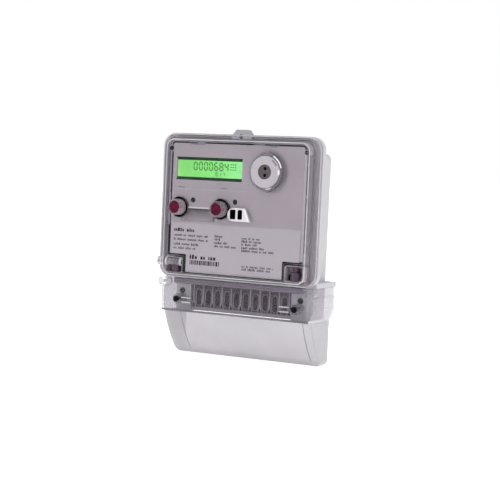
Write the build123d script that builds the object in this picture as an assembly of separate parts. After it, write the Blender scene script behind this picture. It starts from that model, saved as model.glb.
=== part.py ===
"""Wall-mounted electronic electricity meter, in millimetres.

Frame: +X to the right, +Y into the wall, +Z up.  The origin is on the wall plane,
on the centre line, half way up the meter, so every y in the meter is negative.
"""
import os
from math import cos, pi, sin

from build123d import *

# ---------------------------------------------------------------- driving dimensions
# Case
CASE_WIDTH = 178.0
CASE_TOP = 110.0
CASE_BOTTOM = -36.0
CASE_RADIUS = 13.0
METER_BOTTOM = -115.0
LUG_TOP = 115.0
LUG_BOTTOM = 105.0
LUG_HALF_WIDTH = 10.0
LUG_HOLE_Z = 108.2
LUG_HOLE_RADIUS = 2.25
WALL = 2.4

# Depth planes, front to back (y)
BUTTON_FRONT = -71.0
PORT_FRONT = -65.7
BEZEL_FRONT = -64.3
WINDOW_FRONT = -61.8
WINDOW_BACK = -59.8
PANEL_FRONT = -58.7
PANEL_BACK = -57.1
FLANGE_FRONT = -53.0
FLANGE_BACK = -50.6
RIM_FRONT = -50.4
GROOVE_FLOOR = -49.0
GROOVE_OUTER_INSET = 0.8
GROOVE_INNER_INSET = 2.4
RIM_INNER_INSET = 3.2
RIM_FLOOR = -46.8
RIM_BACK = -44.4
BACK_INSIDE = -2.4

# Rear box of the base, and the shoulder and tray below it
BOX_HALF_WIDTH = 74.0
BOX_TOP = 95.0
BOX_RADIUS = 6.0
SHOULDER_HALF_WIDTH = 85.8
SHOULDER_TOP = -31.6
SHOULDER_BOTTOM = -36.4
SHELF_BOTTOM = -39.0
TRAY_BOTTOM = -70.0
TRAY_FRONT = -40.6
TRAY_POCKET_HALF_WIDTH = 57.0
TRAY_POCKET_BACK = -3.0
PIN_PASSAGE = 2.6
COFFER_COLUMNS = 4
COFFER_ROWS = 4
COFFER_RIB = 4.0
COFFER_DEPTH = 0.9

# Raised window of the front cover, and the wells at its lower corners
WINDOW_HALF_WIDTH = 80.5
WINDOW_TOP = 104.5
WINDOW_BOTTOM = -33.0
WINDOW_RADIUS = 9.0
WINDOW_SIDE = 2.0
WELL_INNER_X = 57.5
WELL_OUTER_X = 78.0
WELL_TOP = -14.8
WELL_BOTTOM = -30.6
WELL_FLOOR = -48.0
WELL_WALL = 1.4
WELL_FLOOR_WALL = 1.1
BEAD_INSET = 3.4
BEAD_WIDTH = 1.2
BEAD_FRONT = -53.9
SEAL_BARREL_END = -86.4
SEAL_BARREL_Z = -19.6
SEAL_BARREL_Y = -57.8

# Sealing screws of the front cover, upright in the corner wells
SEAL_X = 67.5
SEAL_Y = -53.8
SEAL_BARREL_RADIUS = 5.7
SEAL_SHANK_RADIUS = 2.0
SEAL_PLATE_TOP = -15.0
SEAL_PLATE_BOTTOM = -16.7
SEAL_BOSS_BOTTOM = -13.3
SEAL_BOSS_TOP = -3.0
SEAL_BOSS_INNER_X = 61.5
INSERT_RADIUS = 3.05

# Front panel
PANEL_HALF_WIDTH = 73.5
PANEL_TOP = 100.0
PANEL_BOTTOM = -29.6
LABEL_TOP = 18.6
LABEL_THICKNESS = 0.4
CUTOUT_INNER_X = 54.4
CUTOUT_TOP = -11.7
STRIP_WIDTH = 1.2
STRIP_FRONT = -58.75
STRIP_GAPS = [(-47.0, -36.5), (16.5, 29.5)]
LCD_LEFT = -68.7
LCD_RIGHT = 5.8
LCD_BOTTOM = 64.5
LCD_TOP = 85.1
LCD_MARGIN = 2.4
LCD_END_MARGIN = 3.4
LCD_SHELF = 2.0
LCD_FRAME_WALL = 1.4
LCD_GLASS_FRONT = PANEL_BACK + 0.2
LCD_SPLIT = PANEL_BACK + 1.3
LCD_GLASS_BACK = PANEL_BACK + 2.4

# Push-buttons
BUTTON_X = {"left": -63.5, "right": -15.8}
BUTTON_Z = 35.7
BUTTON_RADIUS = 8.2
BUTTON_CORE_RADIUS = 6.25
BUTTON_STEM_RADIUS = 2.5
COLLAR_RADIUS = 10.3
COLLAR_BORE = 8.5
COLLAR_FRONT = -59.6
COLLAR_FLOOR = -55.6
COLLAR_BACK = -54.6
BUTTON_BACK = -60.4
STEM_END = -53.6
SWITCH_TOP = -51.0

# Pulse indicator windows in the panel
LED_PLACES = [(-48.5, 43.3), (-0.7, 43.5)]
LED_HOLE_RADIUS = 2.4

# Optical port
PORT_X = 34.1
PORT_Z = 74.4
PORT_RADIUS = 15.6
PORT_CORE_RADIUS = 7.25
PORT_BEZEL_RADIUS = 18.5
DIODE_SPACING = 6.5
DIODE_HOLE_RADIUS = 1.75

# Data port
DATA_LEFT = -6.5
DATA_RIGHT = 18.8
DATA_TOP = 37.8
DATA_BOTTOM = 24.6
DATA_FRONT = -63.3
DATA_SLOPE = 6.8
DATA_GAP = 0.15
DATA_WINDOWS = [(-3.5, 2.9), (5.1, 10.3)]
DATA_WINDOW_BOTTOM = 26.6
DATA_WINDOW_TOP = 36.2

# Terminals
TERMINAL_COUNT = 10
TERMINAL_PITCH = 10.84
BLOCK_HALF_WIDTH = 56.7
BLOCK_TOP = -39.2
BLOCK_BOTTOM = -67.0
BLOCK_FRONT = -38.4
BLOCK_BACK = -3.2
WELL_Z = -55.7
WELL_HEIGHT = 16.6
WELL_WIDTH = 7.0
CABLE_Y = -23.0
CABLE_RADIUS = 3.1
BARREL_WIDTH = 8.6
BARREL_DEPTH = 10.0
BARREL_TOP = -46.0
BARREL_BOTTOM = -66.0
TERMINAL_SCREW_Z = [-51.6, -59.8]
TERMINAL_SCREW_RADIUS = 1.95
TERMINAL_THREAD_RADIUS = 2.0
LINK_NOTCH = 2.2
BLOCK_SPLIT = CABLE_Y - BARREL_DEPTH / 2 - 0.05
CHAMBER_BACK = CABLE_Y + BARREL_DEPTH / 2 + 0.05

# Terminal cover
COVER_HALF_WIDTH = 85.8
COVER_TOP = -36.8
COVER_LIP = -45.8
COVER_LEDGE = -70.1
COVER_FRONT = -53.8
COVER_REAR = -0.3
COVER_WALL = 2.0
COVER_RADIUS = 4.0
COVER_STEP = 0.8
SKIRT_HALF_WIDTH = 83.2
SKIRT_RADIUS = 5.0
SKIRT_REAR = -6.5
TAPER_TOP = -59.0
TAPER_BOTTOM = -72.0
SKIRT_TOP_FRONT = -49.6
SKIRT_MIDDLE_FRONT = -38.0
SKIRT_MIDDLE_Z = -92.0
SKIRT_END_FRONT = -18.9
COVER_SCREW_X = 66.7
COVER_SCREW_Z = -57.8
COVER_SCREW_RADIUS = 2.0
COVER_BUSH_BORE = 2.05
FIXING_X = 67.1
FIXING_Z = -50.0
FIXING_RADIUS = 2.5
TAB_INNER_X = 75.5
TAB_OUTER_X = 88.6
TAB_TOP = -36.9
TAB_BOTTOM = -44.4
TAB_FRONT = -54.2
TAB_BACK = -47.0
TAB_HOLE_X = 83.4

# Boards
DISPLAY_BOARD_FRONT = -48.4
DISPLAY_BOARD_BACK = -46.8
MAIN_BOARD_FRONT = -9.0
MAIN_BOARD_BACK = -7.4
MAIN_BOARD_HALF_WIDTH = 67.0
MAIN_BOARD_TOP = 86.0
MAIN_BOARD_BOTTOM = -28.0
BOARD_POST_X = 61.0
BOARD_POST_Z = [-22.0, 80.0]
PANEL_POST_Z = [8.0, 52.0]
RIBBON_LEFT = 38.0
RIBBON_RIGHT = 52.0
PANEL_POST_X = 69.9
PANEL_POST_RADIUS = 1.6
SPACER_X = 64.4
EAR_SCREW_X = 75.6
EAR_SCREW_Z = 94.5


# ---------------------------------------------------------------- helpers
def box(x0, x1, y0, y1, z0, z1):
    """A box between two corners."""
    size = Box(abs(x1 - x0), abs(y1 - y0), abs(z1 - z0))
    return Pos((x0 + x1) / 2, (y0 + y1) / 2, (z0 + z1) / 2) * size


def slab(outline, y0, y1):
    """Extrude a face drawn in the XZ plane from y0 back to y1."""
    return extrude(Pos(0, y0, 0) * outline, amount=y1 - y0, dir=(0, 1, 0))


def rounded(x0, x1, z0, z1, radius):
    """A rounded rectangle in the XZ plane."""
    flat = RectangleRounded(x1 - x0, z1 - z0, radius)
    return Pos((x0 + x1) / 2, 0, (z0 + z1) / 2) * (Rot(90, 0, 0) * flat)


def slot(x, z, width, height):
    """An upright slot with round ends, in the XZ plane."""
    return rounded(x - width / 2, x + width / 2, z - height / 2, z + height / 2, width / 2 - 0.001)


def rod_y(x, z, radius, y0, y1):
    """A cylinder along Y."""
    turned = Rot(90, 0, 0) * Cylinder(radius, abs(y1 - y0))
    return Pos(x, (y0 + y1) / 2, z) * turned


def rod_z(x, y, radius, z0, z1):
    """A cylinder along Z."""
    return Pos(x, y, (z0 + z1) / 2) * Cylinder(radius, abs(z1 - z0))


def rod_x(x0, x1, y, z, radius):
    """A cylinder along X."""
    turned = Rot(0, 90, 0) * Cylinder(radius, abs(x1 - x0))
    return Pos((x0 + x1) / 2, y, z) * turned


def profile_yz(points, half_width):
    """Extrude an outline in the YZ plane over the whole width."""
    corners = [(0, y, z) for y, z in points]
    face = make_face(Polyline(*corners, close=True))
    return extrude(face, amount=half_width, dir=(1, 0, 0), both=True)


def terminal_x(index):
    """Centre of a terminal, counted from the left."""
    return (index - (TERMINAL_COUNT - 1) / 2) * TERMINAL_PITCH


def case_outline(inset):
    """The case's outline, moved in by inset."""
    half = CASE_WIDTH / 2 - inset
    return rounded(-half, half, CASE_BOTTOM + inset, CASE_TOP - inset, CASE_RADIUS - inset)


def groove_outline():
    """Outline of the groove that holds the gasket, all round the rim."""
    return case_outline(GROOVE_OUTER_INSET) - case_outline(GROOVE_INNER_INSET)


def lug_outline():
    """The hanging lug's outline, from inside the case's top edge to its flat top."""
    reach = LUG_HALF_WIDTH
    right = [(reach + 2.5, LUG_BOTTOM), (reach, CASE_TOP), (reach - 4, LUG_TOP)]
    left = [(-x, z) for x, z in reversed(right)]
    return make_face(Polyline(*[(x, 0, z) for x, z in right + left], close=True))


# ---------------------------------------------------------------- case
def cavity_outline():
    """Outline of the space inside the case."""
    inner = BOX_HALF_WIDTH - WALL
    return rounded(-inner, inner, CASE_BOTTOM + WALL, BOX_TOP - WALL, BOX_RADIUS - WALL)


def make_base_housing():
    """Rear moulding: a shallow box with a ribbed back, open at the front."""
    outline = rounded(-BOX_HALF_WIDTH, BOX_HALF_WIDTH, SHELF_BOTTOM - 20, BOX_TOP, BOX_RADIUS)
    base = slab(outline, RIM_BACK, 0)
    base -= box(-BOX_HALF_WIDTH, BOX_HALF_WIDTH, RIM_BACK, 0, SHELF_BOTTOM - 20, SHELF_BOTTOM)
    base -= slab(cavity_outline(), RIM_BACK, BACK_INSIDE)
    for index in range(TERMINAL_COUNT):
        x = terminal_x(index)
        base -= box(x - PIN_PASSAGE, x + PIN_PASSAGE, CABLE_Y - PIN_PASSAGE, CABLE_Y + PIN_PASSAGE,
                    SHELF_BOTTOM, CASE_BOTTOM + WALL)
    # shallow coffers leave a grid of ribs on the back
    width = (2 * BOX_HALF_WIDTH - (COFFER_COLUMNS + 1) * COFFER_RIB) / COFFER_COLUMNS
    height = (BOX_TOP - SHELF_BOTTOM - (COFFER_ROWS + 1) * COFFER_RIB) / COFFER_ROWS
    for column in range(COFFER_COLUMNS):
        x0 = COFFER_RIB - BOX_HALF_WIDTH + column * (width + COFFER_RIB)
        for row in range(COFFER_ROWS):
            z0 = SHELF_BOTTOM + COFFER_RIB + row * (height + COFFER_RIB)
            base -= slab(rounded(x0, x0 + width, z0, z0 + height, 2.5), -COFFER_DEPTH, 0)
    return base


def make_case_rim():
    """Front frame of the case: groove, sealing bosses and the two shoulders at the bottom."""
    rim = slab(case_outline(0), RIM_FRONT, RIM_BACK)
    rim -= slab(case_outline(RIM_INNER_INSET), RIM_FRONT, RIM_FLOOR)
    rim -= slab(lug_outline(), RIM_FRONT, RIM_BACK)
    rim -= slab(cavity_outline(), RIM_FLOOR, RIM_BACK)
    rim -= slab(groove_outline(), RIM_FRONT, GROOVE_FLOOR)
    for side in (-1, 1):
        rim += box(side * BOX_HALF_WIDTH, side * SHOULDER_HALF_WIDTH, RIM_BACK, 0,
                   SHOULDER_BOTTOM, SHOULDER_TOP)
        rim -= box(side * (BOX_HALF_WIDTH + WALL), side * (SHOULDER_HALF_WIDTH - WALL),
                   RIM_BACK + WALL, 0, SHOULDER_BOTTOM, SHOULDER_TOP - WALL)
        rim += box(side * SEAL_BOSS_INNER_X, side * BOX_HALF_WIDTH, PANEL_BACK + 0.1, RIM_BACK,
                   SEAL_BOSS_BOTTOM, SEAL_BOSS_TOP)
        rim -= rod_z(side * SEAL_X, SEAL_Y, INSERT_RADIUS + 0.02, SEAL_BOSS_BOTTOM, SEAL_BOSS_TOP)
        rim += rod_y(side * EAR_SCREW_X, EAR_SCREW_Z, 2.6, PANEL_BACK, RIM_FLOOR)
        rim -= rod_y(side * EAR_SCREW_X, EAR_SCREW_Z, 1.25, PANEL_BACK, -51.0)
    return rim


def make_terminal_tray():
    """Lower moulding that holds the terminal block, with the fixing holes beside its pocket."""
    tray = box(-BOX_HALF_WIDTH, BOX_HALF_WIDTH, TRAY_FRONT, 0, TRAY_BOTTOM, SHELF_BOTTOM)
    pocket = TRAY_POCKET_HALF_WIDTH
    tray -= box(-pocket, pocket, TRAY_FRONT, TRAY_POCKET_BACK, TRAY_BOTTOM, SHELF_BOTTOM)
    for side in (-1, 1):
        hollow = box(side * (TRAY_POCKET_HALF_WIDTH + WALL), side * (BOX_HALF_WIDTH - WALL),
                     TRAY_FRONT + WALL, 0, TRAY_BOTTOM + WALL, SHELF_BOTTOM - WALL)
        hollow -= rod_y(side * FIXING_X, FIXING_Z, 4.6, TRAY_FRONT, 0)
        hollow -= rod_y(side * COVER_SCREW_X, COVER_SCREW_Z, 4.2, TRAY_FRONT, -24)
        tray -= hollow
        tray -= rod_y(side * FIXING_X, FIXING_Z, FIXING_RADIUS, TRAY_FRONT, 0)
        tray -= rod_y(side * COVER_SCREW_X, COVER_SCREW_Z, INSERT_RADIUS + 0.02, TRAY_FRONT, -26)
    return tray


def make_hanging_lug():
    """Lug let into the case's top edge, with the hole that the meter hangs by."""
    lug = slab(lug_outline(), FLANGE_FRONT, RIM_BACK)
    lug = chamfer(lug.faces().sort_by(Axis.Y)[0].edges().sort_by(Axis.Z)[1:], 0.6)
    return lug - rod_y(0, LUG_HOLE_Z, LUG_HOLE_RADIUS, FLANGE_FRONT, RIM_BACK)


def make_cover_gasket():
    """Soft ring in the rim's groove, pressed by the cover's flange and the lug."""
    ring = slab(groove_outline(), FLANGE_BACK, GROOVE_FLOOR)
    return ring - slab(lug_outline(), FLANGE_BACK, GROOVE_FLOOR)


def window_outline(inset):
    """Outline of the front cover's raised window."""
    half = WINDOW_HALF_WIDTH - inset
    return rounded(-half, half, WINDOW_BOTTOM + inset, WINDOW_TOP - inset, WINDOW_RADIUS - inset)


def make_front_cover():
    """Clear front cover: a flange, a raised window and two corner wells."""
    cover = slab(case_outline(0), FLANGE_FRONT, FLANGE_BACK)
    cover += slab(case_outline(BEAD_INSET) - case_outline(BEAD_INSET + BEAD_WIDTH), BEAD_FRONT, FLANGE_FRONT)
    cover += slab(window_outline(0), WINDOW_FRONT, FLANGE_FRONT)
    cover += rod_x(SEAL_BARREL_END, 1 - WINDOW_HALF_WIDTH, SEAL_BARREL_Y, SEAL_BARREL_Z, 4.4)
    cover -= slab(window_outline(WINDOW_SIDE), WINDOW_BACK, FLANGE_BACK)
    for side in (-1, 1):
        cover += box(side * (WELL_INNER_X - WELL_WALL), side * (WELL_OUTER_X + WELL_WALL), WINDOW_FRONT + 0.5,
                     WELL_FLOOR + WELL_FLOOR_WALL, WELL_BOTTOM - WELL_WALL, WELL_TOP + WELL_WALL)
        cover -= box(side * WELL_INNER_X, side * WELL_OUTER_X, WINDOW_FRONT, WELL_FLOOR,
                     WELL_BOTTOM, WELL_TOP)
        cover -= rod_z(side * SEAL_X, SEAL_Y, SEAL_SHANK_RADIUS + 0.3, WELL_TOP, WELL_TOP + WELL_WALL)
    bezel = rod_y(PORT_X, PORT_Z, PORT_BEZEL_RADIUS + 0.4, WINDOW_FRONT, WINDOW_BACK)
    cover -= bezel
    for x in BUTTON_X.values():
        cover -= rod_y(x, BUTTON_Z, COLLAR_RADIUS + 0.1, WINDOW_FRONT, WINDOW_BACK)
    cover -= slab(data_port_outline(DATA_GAP), WINDOW_FRONT, WINDOW_BACK)
    cover -= slab(lug_outline(), BEAD_FRONT, FLANGE_BACK)
    cover -= rod_x(SEAL_BARREL_END, -WINDOW_HALF_WIDTH - 0.6, SEAL_BARREL_Y, SEAL_BARREL_Z, 1.7)
    return cover


def make_cover_seal_screws():
    """Upright captive screws with wire holes, one in each corner well."""
    screws = []
    neck_bottom = -21.2
    for side in (-1, 1):
        x = side * SEAL_X
        screw = rod_z(x, SEAL_Y, SEAL_BARREL_RADIUS, WELL_BOTTOM + 0.3, neck_bottom)
        screw = fillet(screw.edges().filter_by(GeomType.CIRCLE), 1.2)
        screw += rod_z(x, SEAL_Y, 3.1, neck_bottom, SEAL_PLATE_BOTTOM)
        screw += rod_z(x, SEAL_Y, SEAL_SHANK_RADIUS, SEAL_PLATE_BOTTOM, SEAL_BOSS_TOP - 2)
        screw -= rod_x(x - 7, x + 7, SEAL_Y, -25.2, 1.1)
        screws.append(screw)
    return screws


def make_seal_plates():
    """Oblong washers between the sealing screws and the wells' upper walls."""
    plates = []
    for side in (-1, 1):
        x = side * SEAL_X
        plate = box(x - 8.8, x + 8.8, SEAL_Y - 4.6, SEAL_Y + 4.6, SEAL_PLATE_BOTTOM, SEAL_PLATE_TOP)
        plate = fillet(plate.edges().filter_by(Axis.Z), 1.5)
        plates.append(plate - rod_z(x, SEAL_Y, SEAL_SHANK_RADIUS + 0.2, SEAL_PLATE_BOTTOM, SEAL_PLATE_TOP))
    return plates


# ---------------------------------------------------------------- front panel
def panel_outline(grow=0.0):
    """Panel outline grown by a margin, with square corners cut out round the sealing wells."""
    half = PANEL_HALF_WIDTH + grow
    face = rounded(-half, half, PANEL_BOTTOM - grow, PANEL_TOP + grow, 2.0)
    for side in (-1, 1):
        x0, x1 = sorted((side * (CUTOUT_INNER_X + grow), side * (half + 1)))
        face -= rounded(x0, x1, PANEL_BOTTOM - grow - 1, CUTOUT_TOP - grow, 0.5)
    return face


def make_panel_strip():
    """Soft black strip round the panel's edge, with gaps at the screw ears and the cover's ribs."""
    strip = slab(panel_outline(STRIP_WIDTH), STRIP_FRONT, PANEL_BACK)
    strip -= slab(panel_outline(), STRIP_FRONT, PANEL_BACK)
    for x0, x1 in STRIP_GAPS:
        strip -= box(x0, x1, STRIP_FRONT, PANEL_BACK, PANEL_TOP, PANEL_TOP + STRIP_WIDTH)
    for side in (-1, 1):
        strip -= box(side * (PANEL_HALF_WIDTH - 1), side * (PANEL_HALF_WIDTH + 3), STRIP_FRONT, PANEL_BACK,
                     EAR_SCREW_Z - 3.2, EAR_SCREW_Z + 3.2)
    return strip


def make_nameplate():
    """Panel moulding behind the window, with every opening that a front control needs."""
    plate = slab(panel_outline(), PANEL_FRONT, PANEL_BACK)
    for side in (-1, 1):
        plate += box(side * (PANEL_HALF_WIDTH - 1), side * 77.8, PANEL_FRONT + 0.4, PANEL_BACK,
                     EAR_SCREW_Z - 3.0, EAR_SCREW_Z + 3.0)
        plate -= rod_y(side * EAR_SCREW_X, EAR_SCREW_Z, 1.3, PANEL_FRONT, PANEL_BACK)
    # the lower half is set back for the label sheet
    plate -= box(-80, 80, PANEL_FRONT, PANEL_FRONT + LABEL_THICKNESS, PANEL_BOTTOM - 1, LABEL_TOP)
    plate -= slab(rounded(LCD_LEFT, LCD_RIGHT, LCD_BOTTOM, LCD_TOP, 0.6), PANEL_FRONT, PANEL_BACK)
    # a scooped recess between the two buttons
    scoop_x0 = BUTTON_X["left"] + 4
    scoop_x1 = BUTTON_X["right"] - 4
    middle = (scoop_x0 + scoop_x1) / 2
    wall = profile_yz([(PANEL_BACK, 22.0), (-53.4, 38.8), (-51.8, 40.0), (PANEL_BACK, 40.0)], 24)
    cut = profile_yz([(PANEL_FRONT, 21.6), (PANEL_FRONT, 38.2), (-53.9, 38.2)], 22.4)
    plate += Pos(middle, 0, 0) * wall
    plate -= Pos(middle, 0, 0) * cut
    for x in BUTTON_X.values():
        plate -= rod_y(x, BUTTON_Z, BUTTON_RADIUS + 0.7, PANEL_FRONT, -50)
    for x, z in LED_PLACES:
        plate -= rod_y(x, z, LED_HOLE_RADIUS, PANEL_FRONT, PANEL_BACK)
    plate -= rod_y(PORT_X, PORT_Z, PORT_CORE_RADIUS + 1.2, PANEL_FRONT, PANEL_BACK)
    plate -= box(DATA_WINDOWS[0][0] - 0.6, DATA_WINDOWS[1][1] + 0.6, PANEL_FRONT, PANEL_BACK,
                 DATA_WINDOW_BOTTOM - 0.6, DATA_WINDOW_TOP + 0.6)
    return plate


def make_label_plate():
    """Thin printed sheet on the lower half of the panel."""
    sheet = slab(panel_outline(), PANEL_FRONT, PANEL_FRONT + LABEL_THICKNESS)
    sheet &= box(-PANEL_HALF_WIDTH + 0.6, PANEL_HALF_WIDTH - 0.6, PANEL_FRONT, PANEL_FRONT + LABEL_THICKNESS,
                 PANEL_BOTTOM + 0.6, LABEL_TOP)
    return sheet


def make_panel_screws():
    """Two small screws through the panel's top ears, into clips of the case."""
    screws = []
    for side in (-1, 1):
        x = side * EAR_SCREW_X
        front = PANEL_FRONT - 0.6
        screw = rod_y(x, EAR_SCREW_Z, 2.1, front, PANEL_FRONT + 0.4)
        screw += rod_y(x, EAR_SCREW_Z, 1.2, PANEL_FRONT + 0.4, -51.5)
        screw -= box(x - 1.6, x + 1.6, front, front + 0.5, EAR_SCREW_Z - 0.3, EAR_SCREW_Z + 0.3)
        screws.append(screw)
    return screws


def make_lcd_glass():
    """Liquid-crystal cell behind the panel's window."""
    left = LCD_LEFT - LCD_MARGIN
    right = LCD_RIGHT + LCD_MARGIN
    top = LCD_TOP + LCD_END_MARGIN
    back = box(left, right, LCD_SPLIT, LCD_GLASS_BACK, LCD_BOTTOM - LCD_END_MARGIN, top)
    front = box(left, right, LCD_GLASS_FRONT, LCD_SPLIT, LCD_BOTTOM - LCD_END_MARGIN + LCD_SHELF, top)
    return back + front


def make_lcd_frame():
    """Moulded frame that holds the glass and the light guide on the board."""
    left = LCD_LEFT - LCD_MARGIN
    right = LCD_RIGHT + LCD_MARGIN
    low = LCD_BOTTOM - LCD_END_MARGIN
    high = LCD_TOP + LCD_END_MARGIN
    wall = LCD_FRAME_WALL
    frame = box(left - wall, right + wall, LCD_GLASS_FRONT, DISPLAY_BOARD_FRONT, low - wall, high + wall)
    return frame - box(left, right, LCD_GLASS_FRONT, DISPLAY_BOARD_FRONT, low, high)


def make_lcd_backlight():
    """Light guide under the glass."""
    margin = LCD_MARGIN - 0.2
    front = LCD_GLASS_BACK + 0.1
    return box(LCD_LEFT - margin, LCD_RIGHT + margin, front, front + 3.5, LCD_BOTTOM - 1.2, LCD_TOP + 3.2)


def make_lcd_pins():
    """Row of pins from the glass's lower edge to the display board."""
    pins = []
    count = 28
    span = LCD_RIGHT - LCD_LEFT - 4
    for index in range(count):
        x = LCD_LEFT + 2 + span * index / (count - 1)
        pins.append(box(x - 0.25, x + 0.25, LCD_GLASS_BACK, DISPLAY_BOARD_FRONT,
                        LCD_BOTTOM - 2.8, LCD_BOTTOM - 2.3))
    return pins


def make_pulse_leds():
    """Two indicator diodes behind the panel's small round holes."""
    leds = []
    for x, z in LED_PLACES:
        body = rod_y(x, z, 1.5, PANEL_FRONT + 1.4, DISPLAY_BOARD_FRONT)
        body = fillet(body.edges().filter_by(GeomType.CIRCLE).sort_by(Axis.Y)[0], 1.2)
        body += rod_y(x, z, 1.9, DISPLAY_BOARD_FRONT - 1.0, DISPLAY_BOARD_FRONT)
        leds.append(body)
    return leds


# ---------------------------------------------------------------- push-buttons
def make_button_sleeve(x):
    """Clear outer sleeve of a push-button, with flats worn round its front edge."""
    sleeve = rod_y(x, BUTTON_Z, BUTTON_RADIUS, BUTTON_FRONT, BUTTON_BACK)
    sleeve = chamfer(sleeve.edges().filter_by(GeomType.CIRCLE).sort_by(Axis.Y)[0], 1.1)
    sleeve -= rod_y(x, BUTTON_Z, BUTTON_CORE_RADIUS, BUTTON_FRONT, BUTTON_BACK)
    return sleeve


def make_button_core(x):
    """Red core of a push-button, with the stem that reaches the switch."""
    core = rod_y(x, BUTTON_Z, BUTTON_CORE_RADIUS, BUTTON_FRONT + 0.5, BUTTON_BACK)
    core = fillet(core.edges().filter_by(GeomType.CIRCLE).sort_by(Axis.Y)[0], 1.4)
    core += rod_y(x, BUTTON_Z, BUTTON_STEM_RADIUS, BUTTON_BACK, STEM_END)
    return core


def make_button_clip(x):
    """Retaining ring on the stem, behind the collar's floor."""
    clip = rod_y(x, BUTTON_Z, 3.7, COLLAR_BACK + 0.1, COLLAR_BACK + 0.6)
    return clip - rod_y(x, BUTTON_Z, BUTTON_STEM_RADIUS + 0.02, COLLAR_BACK, COLLAR_BACK + 1)


def make_button_spring(x):
    """Return spring between the button's back face and the collar's floor."""
    wire = 0.35
    pitch = 1.3
    height = COLLAR_FLOOR - BUTTON_BACK - 2 * wire - 0.1
    radius = 4.4
    helix = Helix(pitch, height, radius)
    section = Plane(origin=helix @ 0, z_dir=helix % 0) * Circle(wire)
    coil = sweep(section, path=helix, is_frenet=True)
    return Pos(x, COLLAR_FLOOR - wire - 0.05, BUTTON_Z) * (Rot(90, 0, 0) * coil)


def make_button_collars():
    """Dark guide collars that stand on the board and pass through panel and window."""
    collars = []
    for x in BUTTON_X.values():
        collar = rod_y(x, BUTTON_Z, COLLAR_RADIUS, COLLAR_FRONT, PANEL_FRONT - 0.1)
        collar += rod_y(x, BUTTON_Z, BUTTON_RADIUS + 0.6, PANEL_FRONT - 0.1, COLLAR_BACK)
        collar -= rod_y(x, BUTTON_Z, COLLAR_BORE, COLLAR_FRONT, COLLAR_FLOOR)
        collar -= slab(data_port_outline(DATA_GAP), COLLAR_FRONT, PANEL_FRONT - 0.1)
        collar -= rod_y(x, BUTTON_Z, BUTTON_STEM_RADIUS + 0.1, COLLAR_FLOOR, COLLAR_BACK)
        for step in range(4):
            angle = (0.25 + 0.5 * step) * pi
            foot_x = x + 6.6 * cos(angle)
            foot_z = BUTTON_Z + 6.6 * sin(angle)
            collar += rod_y(foot_x, foot_z, 0.9, COLLAR_BACK, DISPLAY_BOARD_FRONT)
        collars.append(collar)
    return collars


def make_tact_switches():
    """Square push switches on the display board, under the two stems."""
    switches = []
    for x in BUTTON_X.values():
        body = box(x - 3.0, x + 3.0, SWITCH_TOP + 0.8, DISPLAY_BOARD_FRONT, BUTTON_Z - 3.0, BUTTON_Z + 3.0)
        body += rod_y(x, BUTTON_Z, 1.7, SWITCH_TOP, SWITCH_TOP + 0.8)
        switches.append(body)
    return switches


# ---------------------------------------------------------------- optical port and data port
def make_optical_port_ring():
    """Steel ring that the reading head's magnet holds on to."""
    ring = rod_y(PORT_X, PORT_Z, PORT_RADIUS, PORT_FRONT, PANEL_FRONT)
    ring = chamfer(ring.edges().filter_by(GeomType.CIRCLE).sort_by(Axis.Y)[0], 0.8)
    ring -= rod_y(PORT_X, PORT_Z, PORT_CORE_RADIUS, PORT_FRONT, PANEL_FRONT)
    return ring


def make_optical_port_bezel():
    """Clear stepped ring round the port, with the locating notch at its right."""
    bezel = rod_y(PORT_X, PORT_Z, PORT_BEZEL_RADIUS, BEZEL_FRONT, PANEL_FRONT)
    bezel = chamfer(bezel.edges().filter_by(GeomType.CIRCLE).sort_by(Axis.Y)[0], 1.2)
    bezel -= rod_y(PORT_X, PORT_Z, PORT_RADIUS + 0.1, BEZEL_FRONT, PANEL_FRONT)
    for angle in (-0.9, 0.0, 0.9):
        x = PORT_X + (PORT_BEZEL_RADIUS + 0.2) * cos(angle)
        z = PORT_Z + (PORT_BEZEL_RADIUS + 0.2) * sin(angle)
        bezel -= rod_y(x, z, 1.6, BEZEL_FRONT, BEZEL_FRONT + 2.0)
    return bezel


def make_optical_port_core():
    """Dark plug with the two light guides' holes."""
    core = rod_y(PORT_X, PORT_Z, PORT_CORE_RADIUS - 0.05, PORT_FRONT + 0.7, -56.0)
    for side in (-1, 1):
        core -= rod_y(PORT_X, PORT_Z + side * DIODE_SPACING / 2, DIODE_HOLE_RADIUS, PORT_FRONT, -56.0)
    return core


def make_infrared_diodes():
    """Sender and receiver, one above the other behind the plug's holes."""
    diodes = []
    for side in (-1, 1):
        z = PORT_Z + side * DIODE_SPACING / 2
        body = rod_y(PORT_X, z, 1.5, -61.0, DISPLAY_BOARD_FRONT)
        body = fillet(body.edges().filter_by(GeomType.CIRCLE).sort_by(Axis.Y)[0], 1.3)
        diodes.append(body)
    return diodes


def data_port_outline(gap):
    """The data port's outline grown by gap: round left end, sloping right end."""
    low = DATA_BOTTOM - gap
    high = DATA_TOP + gap
    radius = (high - low) / 2
    middle = DATA_LEFT - gap + radius
    arc = ThreePointArc((middle, 0, low), (middle - radius, 0, low + radius), (middle, 0, high))
    rest = Polyline((middle, 0, high), (DATA_RIGHT - DATA_SLOPE + gap, 0, high),
                    (DATA_RIGHT + gap, 0, low), (middle, 0, low))
    return make_face(arc + rest)


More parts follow.
